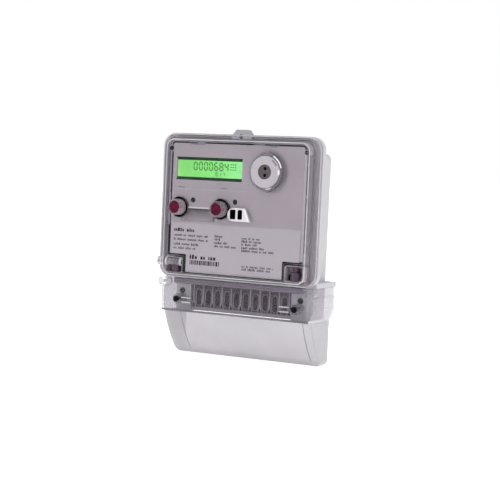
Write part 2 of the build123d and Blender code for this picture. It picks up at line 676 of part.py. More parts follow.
def make_data_port_housing():
    """Raised frame of the data port, with two windows for its plug."""
    body = slab(data_port_outline(0), DATA_FRONT, PANEL_FRONT)
    body = chamfer(body.faces().sort_by(Axis.Y)[0].edges(), 0.5)
    x0 = DATA_WINDOWS[0][0] - 0.4
    x1 = DATA_WINDOWS[1][1] + 0.4
    body += box(x0, x1, PANEL_FRONT, -52.0, DATA_WINDOW_BOTTOM - 0.4, DATA_WINDOW_TOP + 0.4)
    for left_x, right_x in DATA_WINDOWS:
        window = rounded(left_x, right_x, DATA_WINDOW_BOTTOM, DATA_WINDOW_TOP, 1.2)
        body -= slab(window, DATA_FRONT, -53.0)
    return body


def make_data_port_contacts():
    """Contact strips on the floor of the data port's two windows."""
    contacts = []
    for left_x, right_x in DATA_WINDOWS:
        for step in range(4):
            x = left_x + (right_x - left_x) * (step + 1) / 5
            contacts.append(box(x - 0.25, x + 0.25, -54.2, -53.0, 28.0, 34.5))
    return contacts


# ---------------------------------------------------------------- terminals
def drill_block_screws(block):
    """The four small holes of the block's own fixing screws."""
    for side in (-1, 1):
        for z in (-44.0, -62.0):
            block -= rod_y(side * 54.9, z, 1.1, BLOCK_FRONT, BLOCK_BACK)
    return block


def make_terminal_block():
    """Rear plate of the block, hollow behind, that closes the chambers."""
    block = box(-BLOCK_HALF_WIDTH, BLOCK_HALF_WIDTH, CHAMBER_BACK, BLOCK_BACK, BLOCK_BOTTOM, BLOCK_TOP)
    block -= box(-52.0, 52.0, -14.0, BLOCK_BACK, BLOCK_BOTTOM + 2.4, BLOCK_TOP - 2.4)
    return drill_block_screws(block)


def make_terminal_block_chambers():
    """Middle part of the block: a comb with a chamber for each barrel and a notch above it for the link."""
    comb = box(-BLOCK_HALF_WIDTH, BLOCK_HALF_WIDTH, BLOCK_SPLIT, CHAMBER_BACK, BLOCK_BOTTOM, BLOCK_TOP)
    half = BARREL_WIDTH / 2 + 0.05
    for index in range(TERMINAL_COUNT):
        x = terminal_x(index)
        comb -= box(x - half, x + half, BLOCK_SPLIT, CHAMBER_BACK, BLOCK_BOTTOM, BARREL_TOP)
        comb -= box(x - LINK_NOTCH, x + LINK_NOTCH, CABLE_Y - LINK_NOTCH, CHAMBER_BACK, BARREL_TOP, BLOCK_TOP)
    return drill_block_screws(comb)


def make_terminal_block_face():
    """Front part of the block, with a slotted screw well for each terminal."""
    face = box(-BLOCK_HALF_WIDTH, BLOCK_HALF_WIDTH, BLOCK_FRONT, BLOCK_SPLIT, BLOCK_BOTTOM, BLOCK_TOP)
    for index in range(TERMINAL_COUNT):
        face -= slab(slot(terminal_x(index), WELL_Z, WELL_WIDTH, WELL_HEIGHT), BLOCK_FRONT, BLOCK_SPLIT)
    return drill_block_screws(face)


def make_terminal_barrels():
    """Brass clamps: one cable bore from below and two threaded holes from the front."""
    barrels = []
    for index in range(TERMINAL_COUNT):
        x = terminal_x(index)
        half = BARREL_WIDTH / 2
        y0 = CABLE_Y - BARREL_DEPTH / 2
        y1 = CABLE_Y + BARREL_DEPTH / 2
        barrel = box(x - half, x + half, y0, y1, BARREL_BOTTOM, BARREL_TOP)
        barrel -= rod_z(x, CABLE_Y, CABLE_RADIUS, BARREL_BOTTOM, BARREL_TOP - 2.0)
        for z in TERMINAL_SCREW_Z:
            barrel -= rod_y(x, z, TERMINAL_THREAD_RADIUS, y0, CABLE_Y)
        barrels.append(barrel)
    return barrels


def make_terminal_screws():
    """Two slotted clamp screws for each terminal, backed out to clear the cable bore."""
    screws = []
    head_front = -34.6
    head_back = -31.8
    tip = CABLE_Y - CABLE_RADIUS - 0.4
    for index in range(TERMINAL_COUNT):
        x = terminal_x(index)
        for z in TERMINAL_SCREW_Z:
            screw = rod_y(x, z, 2.7, head_front, head_back)
            screw += rod_y(x, z, TERMINAL_SCREW_RADIUS, head_back, tip)
            screw -= box(x - 2.8, x + 2.8, head_front, head_front + 1.0, z - 0.4, z + 0.4)
            screws.append(screw)
    return screws


def make_primary_links():
    """U-shaped current links, one per phase, from its first terminal to its third."""
    links = []
    rise = -8.0
    half = 1.4
    for phase in range(3):
        x0 = terminal_x(3 * phase)
        x1 = terminal_x(3 * phase + 2)
        link = box(x0 - half, x0 + half, CABLE_Y - half, CABLE_Y + half, BARREL_TOP, rise)
        link += box(x1 - half, x1 + half, CABLE_Y - half, CABLE_Y + half, BARREL_TOP, rise)
        link += box(x0 - half, x1 + half, CABLE_Y - half, CABLE_Y + half, rise, rise + 2.8)
        links.append(link)
    return links


def make_voltage_pins():
    """Bent pins that carry each phase's voltage and the neutral to the main board."""
    pins = []
    half = 0.6
    for index in (1, 4, 7, 9):
        x = terminal_x(index)
        pin = box(x - half, x + half, CABLE_Y - half, CABLE_Y + half, BARREL_TOP, -24.0)
        pin += box(x - half, x + half, CABLE_Y - half, MAIN_BOARD_FRONT, -25.2, -24.0)
        pins.append(pin)
    return pins


def make_current_transformers():
    """Ring transformers, one threaded on each current link's first leg."""
    rings = []
    for phase in range(3):
        x = terminal_x(3 * phase)
        ring = rod_z(x, CABLE_Y, 9.0, -22.0, -12.6)
        ring = fillet(ring.edges().filter_by(GeomType.CIRCLE), 1.4)
        ring -= rod_z(x, CABLE_Y, 3.2, -22.0, -12.6)
        rings.append(ring)
    return rings


def make_transformer_seats():
    """Moulded seats that hold the ring transformers on the main board."""
    seats = []
    for phase in range(3):
        x = terminal_x(3 * phase)
        seat = box(x - 8.0, x + 8.0, -14.8, MAIN_BOARD_FRONT, -24.0, -22.1)
        seat += box(x - 8.0, x + 8.0, -12.9, MAIN_BOARD_FRONT, -22.1, -12.0)
        seat -= rod_z(x, CABLE_Y, 9.2, -22.05, -11.0)
        seats.append(seat)
    return seats


# ---------------------------------------------------------------- boards
def make_main_board():
    """Power and metering board, flat against the posts of the base."""
    half = MAIN_BOARD_HALF_WIDTH
    board = box(-half, half, MAIN_BOARD_FRONT, MAIN_BOARD_BACK, MAIN_BOARD_BOTTOM, MAIN_BOARD_TOP)
    for side in (-1, 1):
        for z in BOARD_POST_Z:
            board -= rod_y(side * BOARD_POST_X, z, 1.7, MAIN_BOARD_FRONT, MAIN_BOARD_BACK)
        for z in PANEL_POST_Z:
            board -= box(side * (PANEL_POST_X - 3.2), side * (MAIN_BOARD_HALF_WIDTH + 1),
                         MAIN_BOARD_FRONT, MAIN_BOARD_BACK, z - 3.2, z + 3.2)
    return board


def make_display_board():
    """Board behind the panel, cut back round the sealing bosses."""
    board = box(-67.5, 67.5, DISPLAY_BOARD_FRONT, DISPLAY_BOARD_BACK, 0.0, 92.0)
    for side in (-1, 1):
        for z in PANEL_POST_Z:
            board -= rod_y(side * SPACER_X, z, 1.4, DISPLAY_BOARD_FRONT, DISPLAY_BOARD_BACK)
    return board


def board_screw(x, z, seat, direction):
    """Pan-head screw on a board's face at seat, driven along Y in the direction given."""
    screw = rod_y(x, z, 2.5, seat - direction * 1.6, seat)
    return screw + rod_y(x, z, 1.2, seat, seat + direction * 5.6)


def make_board_screws():
    """Eight pan-head screws: four in the base's pillars and four in the panel's spacers."""
    screws = []
    for side in (-1, 1):
        screws += [board_screw(side * BOARD_POST_X, z, MAIN_BOARD_FRONT, 1) for z in BOARD_POST_Z]
        screws += [board_screw(side * SPACER_X, z, DISPLAY_BOARD_BACK, -1) for z in PANEL_POST_Z]
    return screws


def tube_y(x, z, radius, bore, y0, y1):
    """A tube along Y."""
    return rod_y(x, z, radius, y0, y1) - rod_y(x, z, bore, y0, y1)


def make_board_pillars():
    """Pillars under the main board, spacers of the display board, and tall props of the panel."""
    pillars = []
    for side in (-1, 1):
        for z in BOARD_POST_Z:
            pillars.append(tube_y(side * BOARD_POST_X, z, 3.0, 1.3, MAIN_BOARD_BACK, BACK_INSIDE))
        for z in PANEL_POST_Z:
            pillars.append(tube_y(side * SPACER_X, z, 2.4, 1.25, PANEL_BACK, DISPLAY_BOARD_FRONT))
            pillars.append(rod_y(side * PANEL_POST_X, z, PANEL_POST_RADIUS, PANEL_BACK, BACK_INSIDE))
    return pillars


def make_supply_transformer_core():
    """Laminated frame of the supply transformer."""
    core = box(-56, -14, -37, -13, 30, 66)
    core -= box(-50, -38, -37, -13, 37, 59)
    core -= box(-32, -20, -37, -13, 37, 59)
    return core


def make_supply_transformer_winding():
    """Bobbin and winding round the core's middle leg."""
    winding = box(-49, -21, -42, -9.2, 38, 58)
    winding -= box(-38.05, -31.95, -37.05, -12.95, 38, 58)
    return winding


def make_smoothing_capacitors():
    """Three upright cans on the main board."""
    cans = []
    for x, z, radius, height in [(10, 52, 6.5, 25), (26, 52, 5.0, 20), (40, 52, 5.0, 20)]:
        can = rod_y(x, z, radius, MAIN_BOARD_FRONT - height, MAIN_BOARD_FRONT)
        cans.append(fillet(can.edges().filter_by(GeomType.CIRCLE).sort_by(Axis.Y)[0], 1.0))
    return cans


def make_surge_varistors():
    """Three disc varistors, one per phase."""
    discs = []
    for phase in range(3):
        x = terminal_x(3 * phase) + 6.0
        disc = rod_x(x - 2, x + 2, -18.5, 12.0, 7.0)
        disc += box(x - 0.5, x + 0.5, -12.5, MAIN_BOARD_FRONT, 8.0, 9.0)
        disc += box(x - 0.5, x + 0.5, -12.5, MAIN_BOARD_FRONT, 15.0, 16.0)
        discs.append(disc)
    return discs


def make_backup_battery():
    """Half-length cell that keeps the clock running."""
    return rod_x(16.0, 41.0, -17.4, 74.0, 7.2)


def make_battery_holder():
    """Cradle and end clips of the back-up cell."""
    cradle = box(14.0, 43.0, -13.5, MAIN_BOARD_FRONT, 67.5, 80.5)
    cradle += box(14.0, 15.9, -20.5, -13.5, 68.5, 79.5)
    cradle += box(41.1, 43.0, -20.5, -13.5, 68.5, 79.5)
    cradle -= rod_x(15.9, 41.1, -17.4, 74.0, 7.3)
    return cradle


def make_metering_chips():
    """Metering chip, controller and memory on the two boards."""
    chips = [box(-6, 6, MAIN_BOARD_FRONT - 1.6, MAIN_BOARD_FRONT, 20, 32)]
    chips.append(box(20, 28, MAIN_BOARD_FRONT - 1.6, MAIN_BOARD_FRONT, 22, 29))
    chips.append(box(20, 34, DISPLAY_BOARD_FRONT - 1.4, DISPLAY_BOARD_FRONT, 30, 44))
    return chips


def make_clock_crystal():
    """Small metal-can crystal beside the controller."""
    can = box(38, 46, DISPLAY_BOARD_FRONT - 2.6, DISPLAY_BOARD_FRONT, 34, 38)
    return fillet(can.edges().filter_by(Axis.Y), 1.6)


def make_board_ribbon():
    """Flat ribbon that joins the two boards."""
    return box(RIBBON_LEFT, RIBBON_RIGHT, DISPLAY_BOARD_BACK + 4.0, MAIN_BOARD_FRONT - 4.0, 83.3, 83.9)


def make_ribbon_connectors():
    """Sockets at the ribbon's two ends."""
    x0 = RIBBON_LEFT - 1.5
    x1 = RIBBON_RIGHT + 1.5
    front = box(x0, x1, DISPLAY_BOARD_BACK, DISPLAY_BOARD_BACK + 6.0, 81.8, 85.4)
    back = box(x0, x1, MAIN_BOARD_FRONT - 6.0, MAIN_BOARD_FRONT, 81.8, 85.4)
    ribbon = make_board_ribbon()
    return [front - ribbon, back - ribbon]


# ---------------------------------------------------------------- terminal cover
def cover_band(half, front, bottom, top, radius):
    """One band of the terminal cover: rounded front corners, flat back."""
    depth = 20.0 - front
    flat = Pos(0, (20.0 + front) / 2, 0) * RectangleRounded(2 * half, depth, radius)
    solid = extrude(Pos(0, 0, bottom) * flat, amount=top - bottom, dir=(0, 0, 1))
    return solid & box(-100, 100, front - 1, COVER_REAR, bottom - 1, top + 1)


def cover_skirt(inset, top):
    """The sloping lower part of the terminal cover, moved in by inset."""
    half = SKIRT_HALF_WIDTH - inset
    bottom = METER_BOTTOM + inset
    # the sloping face runs past the bottom and the sides, which the slab then cuts
    start = (0, SKIRT_TOP_FRONT + inset, top)
    middle = (0, SKIRT_MIDDLE_FRONT + inset, SKIRT_MIDDLE_Z)
    end = (0, SKIRT_END_FRONT + inset, METER_BOTTOM - 2)
    back = Polyline(end, (0, COVER_REAR, METER_BOTTOM - 2), (0, COVER_REAR, top), start)
    face = make_face(ThreePointArc(start, middle, end) + back)
    solid = extrude(face, amount=half + 2, dir=(1, 0, 0), both=True)
    return solid & slab(rounded(-half, half, bottom, top + 30, SKIRT_RADIUS - inset), -60, 1)


def cover_outline(inset):
    """Front outline of the terminal cover: its sides draw in below the cover screws."""
    half = COVER_HALF_WIDTH - inset
    waist = SKIRT_HALF_WIDTH - inset
    right = [(half, COVER_TOP + 3), (half, TAPER_TOP), (waist, TAPER_BOTTOM), (waist, METER_BOTTOM - 1)]
    left = [(-x, z) for x, z in reversed(right)]
    return make_face(Polyline(*[(x, 0, z) for x, z in right + left], close=True))


def cover_solid(inset):
    """The terminal cover's form, moved in by inset at the front, sides and bottom."""
    half = COVER_HALF_WIDTH - inset
    front = COVER_FRONT + inset
    radius = COVER_RADIUS - inset / 2
    floor = COVER_LEDGE + inset * 0.6
    solid = cover_band(half, front, floor, COVER_LIP, radius)
    solid += cover_band(half - COVER_STEP, front + COVER_STEP, COVER_LIP - 1, COVER_TOP + inset, radius)
    solid += cover_skirt(inset, COVER_LEDGE + 3 + inset)
    return solid & slab(cover_outline(inset), COVER_FRONT - 1, 1)


def make_terminal_cover():
    """Clear extended cover: banded front, sloping skirt, open to the wall behind."""
    cover = cover_solid(0) - cover_solid(COVER_WALL)
    # rear edge: at the wall beside the base, then clear of it for the cables
    rear = profile_yz([(COVER_REAR, TAPER_TOP), (SKIRT_REAR, TAPER_BOTTOM - 2),
                       (SKIRT_REAR, METER_BOTTOM - 1), (2, METER_BOTTOM - 1), (2, TAPER_TOP)], 90)
    cover -= rear
    for side in (-1, 1):
        x = side * COVER_SCREW_X
        cover += rod_y(x, COVER_SCREW_Z, 5.2, COVER_FRONT, TRAY_FRONT - 0.4)
        inner = side * (COVER_SCREW_X - 15.5)
        cover += rod_x(min(x, inner), max(x, inner), COVER_FRONT + 4.2, COVER_SCREW_Z - 0.6, 3.4)
        cover -= rod_x(min(x, inner), max(x, inner), COVER_FRONT + 4.2, COVER_SCREW_Z - 0.6, 1.2)
        cover -= rod_y(x, COVER_SCREW_Z, COVER_SCREW_RADIUS + 0.4, COVER_FRONT, TRAY_FRONT)
        cover -= rod_y(x, COVER_SCREW_Z, 3.3, COVER_FRONT, COVER_FRONT + 1.6)
        # sealing tab at the top corner
        x0, x1 = sorted((side * TAB_INNER_X, side * TAB_OUTER_X))
        cover += slab(rounded(x0, x1, TAB_BOTTOM, TAB_TOP, 3.0), TAB_FRONT, TAB_BACK)
        cover -= rod_y(side * TAB_HOLE_X, (TAB_TOP + TAB_BOTTOM) / 2, 1.3, TAB_FRONT, TAB_BACK)
    return cover


def make_terminal_cover_screw(side):
    """Captive cover screw with a slotted black head."""
    x = side * COVER_SCREW_X
    head_back = COVER_FRONT + 1.6
    screw = rod_y(x, COVER_SCREW_Z, 2.9, head_back - 3.2, head_back)
    screw = chamfer(screw.edges().filter_by(GeomType.CIRCLE).sort_by(Axis.Y)[0], 0.5)
    screw += rod_y(x, COVER_SCREW_Z, COVER_SCREW_RADIUS, head_back, -32.0)
    screw -= box(x - 3, x + 3, head_back - 3.2, head_back - 2.0, COVER_SCREW_Z - 0.45, COVER_SCREW_Z + 0.45)
    return screw


def make_threaded_bushes():
    """Brass inserts in the base that take the terminal cover's and the seals' screws."""
    bushes = []
    for side in (-1, 1):
        x = side * COVER_SCREW_X
        bush = rod_y(x, COVER_SCREW_Z, INSERT_RADIUS, TRAY_FRONT + 0.2, -28.0)
        bush -= rod_y(x, COVER_SCREW_Z, COVER_BUSH_BORE, TRAY_FRONT, -28.0)
        bushes.append(bush)
        insert = rod_z(side * SEAL_X, SEAL_Y, INSERT_RADIUS, SEAL_BOSS_BOTTOM + 0.1, SEAL_BOSS_TOP - 1)
        insert -= rod_z(side * SEAL_X, SEAL_Y, SEAL_SHANK_RADIUS + 0.05, SEAL_BOSS_BOTTOM, SEAL_BOSS_TOP)
        bushes.append(insert)
    return bushes


# ---------------------------------------------------------------- build
def build():
    """Every node by name, each a solid or a list of separate solids."""
    nodes = {
        "base_housing": make_base_housing(),
        "case_rim": make_case_rim(),
        "hanging_lug": make_hanging_lug(),
        "terminal_tray": make_terminal_tray(),
        "cover_gasket": make_cover_gasket(),
        "front_cover": make_front_cover(),
        "cover_seal_screws": make_cover_seal_screws(),
        "seal_plates": make_seal_plates(),
        "nameplate": make_nameplate(),
        "label_plate": make_label_plate(),
        "panel_strip": make_panel_strip(),
        "panel_screws": make_panel_screws(),
        "lcd_glass": make_lcd_glass(),
        "lcd_frame": make_lcd_frame(),
        "lcd_backlight": make_lcd_backlight(),
        "lcd_pins": make_lcd_pins(),
        "pulse_leds": make_pulse_leds(),
        "button_collars": make_button_collars(),
        "tact_switches": make_tact_switches(),
        "optical_port_ring": make_optical_port_ring(),
        "optical_port_bezel": make_optical_port_bezel(),
        "optical_port_core": make_optical_port_core(),
        "infrared_diodes": make_infrared_diodes(),
        "data_port_housing": make_data_port_housing(),
        "data_port_contacts": make_data_port_contacts(),
        "terminal_block": make_terminal_block(),
        "terminal_block_chambers": make_terminal_block_chambers(),
        "terminal_block_face": make_terminal_block_face(),
        "terminal_barrels": make_terminal_barrels(),
        "terminal_screws": make_terminal_screws(),
        "primary_links": make_primary_links(),
        "voltage_pins": make_voltage_pins(),
        "current_transformers": make_current_transformers(),
        "transformer_seats": make_transformer_seats(),
        "main_board": make_main_board(),
        "display_board": make_display_board(),
        "board_screws": make_board_screws(),
        "board_pillars": make_board_pillars(),
        "supply_transformer_core": make_supply_transformer_core(),
        "supply_transformer_winding": make_supply_transformer_winding(),
        "smoothing_capacitors": make_smoothing_capacitors(),
        "surge_varistors": make_surge_varistors(),
        "backup_battery": make_backup_battery(),
        "battery_holder": make_battery_holder(),
        "metering_chips": make_metering_chips(),
        "clock_crystal": make_clock_crystal(),
        "board_ribbon": make_board_ribbon(),
        "ribbon_connectors": make_ribbon_connectors(),
        "terminal_cover": make_terminal_cover(),
        "threaded_bushes": make_threaded_bushes(),
        "terminal_cover_screw_left": make_terminal_cover_screw(-1),
        "terminal_cover_screw_right": make_terminal_cover_screw(1),
    }
    for side, x in BUTTON_X.items():
        nodes[side + "_button_sleeve"] = make_button_sleeve(x)
        nodes[side + "_button_core"] = make_button_core(x)
        nodes[side + "_button_clip"] = make_button_clip(x)
        nodes[side + "_button_spring"] = make_button_spring(x)
    return nodes


def main():
    """Write one STEP file per node."""
    os.makedirs("parts", exist_ok=True)
    for name, shape in build().items():
        solids = shape if isinstance(shape, list) else [shape]
        solids = [solid for item in solids for solid in item.solids()]
        whole = solids[0] if len(solids) == 1 else Compound(children=solids)
        export_step(whole, "parts/" + name + ".step")


main()
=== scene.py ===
"""Looks of a wall-mounted electricity meter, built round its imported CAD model, in metres."""
import math
import random

import bmesh
import bpy
from mathutils import Matrix, Vector


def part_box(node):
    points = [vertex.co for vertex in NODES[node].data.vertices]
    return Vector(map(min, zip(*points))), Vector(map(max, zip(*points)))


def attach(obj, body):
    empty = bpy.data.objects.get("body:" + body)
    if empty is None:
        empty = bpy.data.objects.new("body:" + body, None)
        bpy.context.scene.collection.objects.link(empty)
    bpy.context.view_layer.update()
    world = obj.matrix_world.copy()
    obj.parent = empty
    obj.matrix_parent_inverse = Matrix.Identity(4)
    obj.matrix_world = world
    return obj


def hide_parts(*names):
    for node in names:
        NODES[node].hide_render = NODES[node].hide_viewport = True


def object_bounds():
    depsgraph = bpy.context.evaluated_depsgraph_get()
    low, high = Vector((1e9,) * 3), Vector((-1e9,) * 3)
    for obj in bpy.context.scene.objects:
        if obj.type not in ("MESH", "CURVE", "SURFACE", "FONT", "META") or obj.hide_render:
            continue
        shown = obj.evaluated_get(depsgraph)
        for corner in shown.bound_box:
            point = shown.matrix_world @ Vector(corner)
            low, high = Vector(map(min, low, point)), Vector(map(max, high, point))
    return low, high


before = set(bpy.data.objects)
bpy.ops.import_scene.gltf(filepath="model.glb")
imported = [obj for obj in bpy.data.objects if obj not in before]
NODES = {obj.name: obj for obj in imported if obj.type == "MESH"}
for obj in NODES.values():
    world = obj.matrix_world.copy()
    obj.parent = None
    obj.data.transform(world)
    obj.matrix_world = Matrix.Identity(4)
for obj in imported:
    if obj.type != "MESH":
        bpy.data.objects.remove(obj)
cad_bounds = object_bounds()
MM = 0.001


# ---- stage
CAMERA_PLACE = Vector((0.64549, -1.24008, 0.07341))
YAW, PITCH, ROLL = (math.radians(a) for a in (27.96, 3.25, 2.56))
LENS = 98.37


def make_camera():
    """Camera at the viewing angle: turned, tipped down and rolled a little."""
    ahead = Vector((-math.sin(YAW) * math.cos(PITCH), math.cos(YAW) * math.cos(PITCH), -math.sin(PITCH)))
    right = ahead.cross(Vector((0, 0, 1))).normalized()
    up = right.cross(ahead)
    x_axis = right * math.cos(ROLL) + up * math.sin(ROLL)
    y_axis = up * math.cos(ROLL) - right * math.sin(ROLL)
    turn = Matrix((x_axis, y_axis, -ahead)).transposed().to_4x4()
    data = bpy.data.cameras.new("camera")
    data.lens = LENS
    data.sensor_width = 36
    camera = bpy.data.objects.new("camera", data)
    bpy.context.scene.collection.objects.link(camera)
    camera.matrix_world = Matrix.Translation(CAMERA_PLACE) @ turn
    bpy.context.scene.camera = camera


def area_light(name, place, target, size, power):
    """White rectangular lamp, aimed at a target."""
    data = bpy.data.lights.new(name, "AREA")
    data.shape = "RECTANGLE"
    data.size, data.size_y = size
    data.energy = power
    light = bpy.data.objects.new(name, data)
    bpy.context.scene.collection.objects.link(light)
    light.location = place
    light.rotation_euler = (Vector(target) - Vector(place)).to_track_quat("-Z", "Y").to_euler()


def set_inputs(node, **values):
    """Fixed values for a node's inputs; an underscore stands for a space in an input's name."""
    for name, value in values.items():
        node.inputs[name.replace("_", " ")].default_value = value


def make_world():
    """White to the camera; a softer gradient lights the object."""
    world = bpy.data.worlds.new("studio")
    bpy.context.scene.world = world
    world.use_nodes = True
    tree = world.node_tree
    tree.nodes.clear()
    make = tree.nodes.new
    coords = make("ShaderNodeTexCoord")
    split = make("ShaderNodeSeparateXYZ")
    ramp = make("ShaderNodeValToRGB")
    ramp.color_ramp.elements[0].position = 0.25
    ramp.color_ramp.elements[0].color = (0.42, 0.41, 0.43, 1)
    ramp.color_ramp.elements[1].position = 0.85
    ramp.color_ramp.elements[1].color = (0.82, 0.81, 0.83, 1)
    half = make("ShaderNodeMath")
    half.operation = "MULTIPLY_ADD"
    half.inputs[1].default_value = 0.5
    half.inputs[2].default_value = 0.5
    lit = make("ShaderNodeBackground")
    seen = make("ShaderNodeBackground")
    set_inputs(seen, Color=(1, 1, 1, 1))
    path = make("ShaderNodeLightPath")
    mix = make("ShaderNodeMixShader")
    out = make("ShaderNodeOutputWorld")
    link = tree.links.new
    link(coords.outputs["Generated"], split.inputs[0])
    link(split.outputs["Z"], half.inputs[0])
    link(half.outputs[0], ramp.inputs["Fac"])
    link(ramp.outputs["Color"], lit.inputs["Color"])
    link(path.outputs["Is Camera Ray"], mix.inputs["Fac"])
    link(lit.outputs[0], mix.inputs[1])
    link(seen.outputs[0], mix.inputs[2])
    link(mix.outputs[0], out.inputs["Surface"])


def make_floor():
    """Plain pale floor, bright enough to meet the backdrop without a line."""
    size = 60.0
    mesh = bpy.data.meshes.new("floor")
    corners = [(-size, -size, 0), (size, -size, 0), (size, size, 0), (-size, size, 0)]
    mesh.from_pydata(corners, [], [(0, 1, 2, 3)])
    floor = bpy.data.objects.new("floor", mesh)
    floor.location.z = cad_bounds[0].z - 0.2 * MM
    bpy.context.scene.collection.objects.link(floor)
    material = bpy.data.materials.new("floor_white")
    material.use_nodes = True
    shader = material.node_tree.nodes["Principled BSDF"]
    set_inputs(shader, Base_Color=(0.9, 0.9, 0.9, 1), Roughness=1.0, Specular_IOR_Level=0.0,
               Emission_Color=(1, 1, 1, 1), Emission_Strength=0.55)
    mesh.materials.append(material)


def make_stage():
    """Camera, backdrop, floor and lamps."""
    bpy.context.scene.view_settings.view_transform = "Standard"
    make_camera()
    make_world()
    make_floor()
    area_light("key", (-0.9, -1.5, 1.2), (0, 0, 0), (1.2, 1.2), 9)
    area_light("side", (1.5, -0.2, 0.7), (0, 0, 0), (0.8, 1.2), 3)
    area_light("top", (0.0, -0.3, 1.6), (0, 0, 0), (1.4, 0.8), 5)


# ---- materials
MATERIALS = {}
# Sockets of a Mix node that mixes colours
MIX_FACTOR, MIX_FIRST, MIX_SECOND, MIX_RESULT = 0, 6, 7, 2


def start_material(name):
    """Node tree and output of a new material, which MATERIALS then holds."""
    material = bpy.data.materials.new(name)
    MATERIALS[name] = material
    material.use_nodes = True
    tree = material.node_tree
    tree.nodes.clear()
    return tree, tree.nodes.new("ShaderNodeOutputMaterial")


def noise(tree, scale, detail=2.0, roughness=0.5, stretch=None):
    """Noise in the object's own coordinates; scale is repeats per metre."""
    coords = tree.nodes.new("ShaderNodeTexCoord")
    texture = tree.nodes.new("ShaderNodeTexNoise")
    set_inputs(texture, Scale=scale, Detail=detail, Roughness=roughness)
    source = coords.outputs["Object"]
    if stretch:
        mapping = tree.nodes.new("ShaderNodeMapping")
        set_inputs(mapping, Scale=stretch)
        tree.links.new(source, mapping.inputs["Vector"])
        source = mapping.outputs["Vector"]
    tree.links.new(source, texture.inputs["Vector"])
    return texture.outputs["Fac"]


def between(tree, value, low, high, start=0.3, end=0.7):
    """A number that runs from low to high as value runs from start to end."""
    node = tree.nodes.new("ShaderNodeMapRange")
    set_inputs(node, From_Min=start, From_Max=end, To_Min=low, To_Max=high)
    tree.links.new(value, node.inputs["Value"])
    return node.outputs["Result"]


def blend_colours(tree, factor, first, second):
    """A colour that runs from first to second; each is a colour or a socket."""
    node = tree.nodes.new("ShaderNodeMix")
    node.data_type = "RGBA"
    tree.links.new(factor, node.inputs[MIX_FACTOR])
    for socket, colour in ((node.inputs[MIX_FIRST], first), (node.inputs[MIX_SECOND], second)):
        if isinstance(colour, (tuple, list)):
            socket.default_value = (*colour[:3], 1)
        else:
            tree.links.new(colour, socket)
    return node.outputs[MIX_RESULT]


def shade(colour, factor):
    """The colour, made darker or lighter."""
    return tuple(min(1.0, c * factor) for c in colour[:3])


def bump(tree, height, distance):
    """Surface relief from a height that runs from 0 to 1, distance deep in metres."""
    node = tree.nodes.new("ShaderNodeBump")
    set_inputs(node, Strength=1.0, Distance=distance)
    tree.links.new(height, node.inputs["Height"])
    return node.outputs["Normal"]


def solid(name, colour, rough=0.45, spread=0.06, patch=45.0, grain=2600.0, grain_depth=0.02, metal=0.0,
          coat=0.0, stretch=None, specular=0.5):
    """Opaque finish: patchy colour, uneven roughness and a fine grain."""
    tree, out = start_material(name)
    shader = tree.nodes.new("ShaderNodeBsdfPrincipled")
    patches = noise(tree, patch, 4.0, 0.6, stretch)
    tree.links.new(blend_colours(tree, between(tree, patches, 0, 1), shade(colour, 1 - spread),
                                 shade(colour, 1 + spread)), shader.inputs["Base Color"])
    fine = noise(tree, grain, 3.0, 0.6, stretch)
    tree.links.new(between(tree, fine, rough - 0.07, rough + 0.07), shader.inputs["Roughness"])
    tree.links.new(bump(tree, fine, grain_depth * MM), shader.inputs["Normal"])
    set_inputs(shader, Metallic=metal, Coat_Weight=coat, Specular_IOR_Level=specular)
    tree.links.new(shader.outputs[0], out.inputs["Surface"])


def edge_on(tree, power, least, most):
    """From least, seen straight on, to most, seen edge on; the same from both sides of a wall."""
    facing = tree.nodes.new("ShaderNodeLayerWeight")
    facing.inputs["Blend"].default_value = 0.5
    steep = tree.nodes.new("ShaderNodeMath")
    steep.operation = "POWER"
    steep.inputs[1].default_value = power
    tree.links.new(facing.outputs["Facing"], steep.inputs[0])
    return between(tree, steep.outputs[0], least, most, 0.0, 1.0)


def add_numbers(tree, first, second):
    """The sum of two sockets, at most 1."""
    node = tree.nodes.new("ShaderNodeMath")
    node.operation = "ADD"
    node.use_clamp = True
    tree.links.new(first, node.inputs[0])
    tree.links.new(second, node.inputs[1])
    return node.outputs[0]


def clear(name, tint, edge_tint, body, haze=(0.005, 0.025), rim_haze=0.5, rough=0.05, shine=0.6, milk=None,
          rim_power=1.6):
    """Clear moulding: see-through faces, bright milky edges and a mirror at grazing angles."""
    tree, out = start_material(name)
    make, link = tree.nodes.new, tree.links.new
    through = make("ShaderNodeBsdfTransparent")
    link(blend_colours(tree, edge_on(tree, 2.2, 0.0, 1.0), tint, edge_tint), through.inputs["Color"])
    mirror = make("ShaderNodeBsdfGlossy")
    set_inputs(mirror, Roughness=rough, Color=(0.95, 0.94, 0.96, 1))
    glass = make("ShaderNodeMixShader")
    link(edge_on(tree, 4.0, 0.006, shine), glass.inputs[0])
    link(through.outputs[0], glass.inputs[1])
    link(mirror.outputs[0], glass.inputs[2])
    milky = make("ShaderNodeBsdfPrincipled")
    set_inputs(milky, Roughness=0.35)
    uneven = noise(tree, 30.0, 3.0)
    link(blend_colours(tree, between(tree, uneven, 0, 1), shade(body, 0.95), shade(body, 1.05)),
         milky.inputs["Base Color"])
    cloud = add_numbers(tree, between(tree, noise(tree, 55.0, 2.0), *haze),
                        edge_on(tree, rim_power, 0.0, rim_haze))
    if milk:
        cloud = add_numbers(tree, cloud, milk(tree))
    whole = make("ShaderNodeMixShader")
    link(cloud, whole.inputs[0])
    link(glass.outputs[0], whole.inputs[1])
    link(milky.outputs[0], whole.inputs[2])
    link(whole.outputs[0], out.inputs["Surface"])


SKIRT_CLEAR_Z, SKIRT_FROSTED_Z = -69.6, -72.0


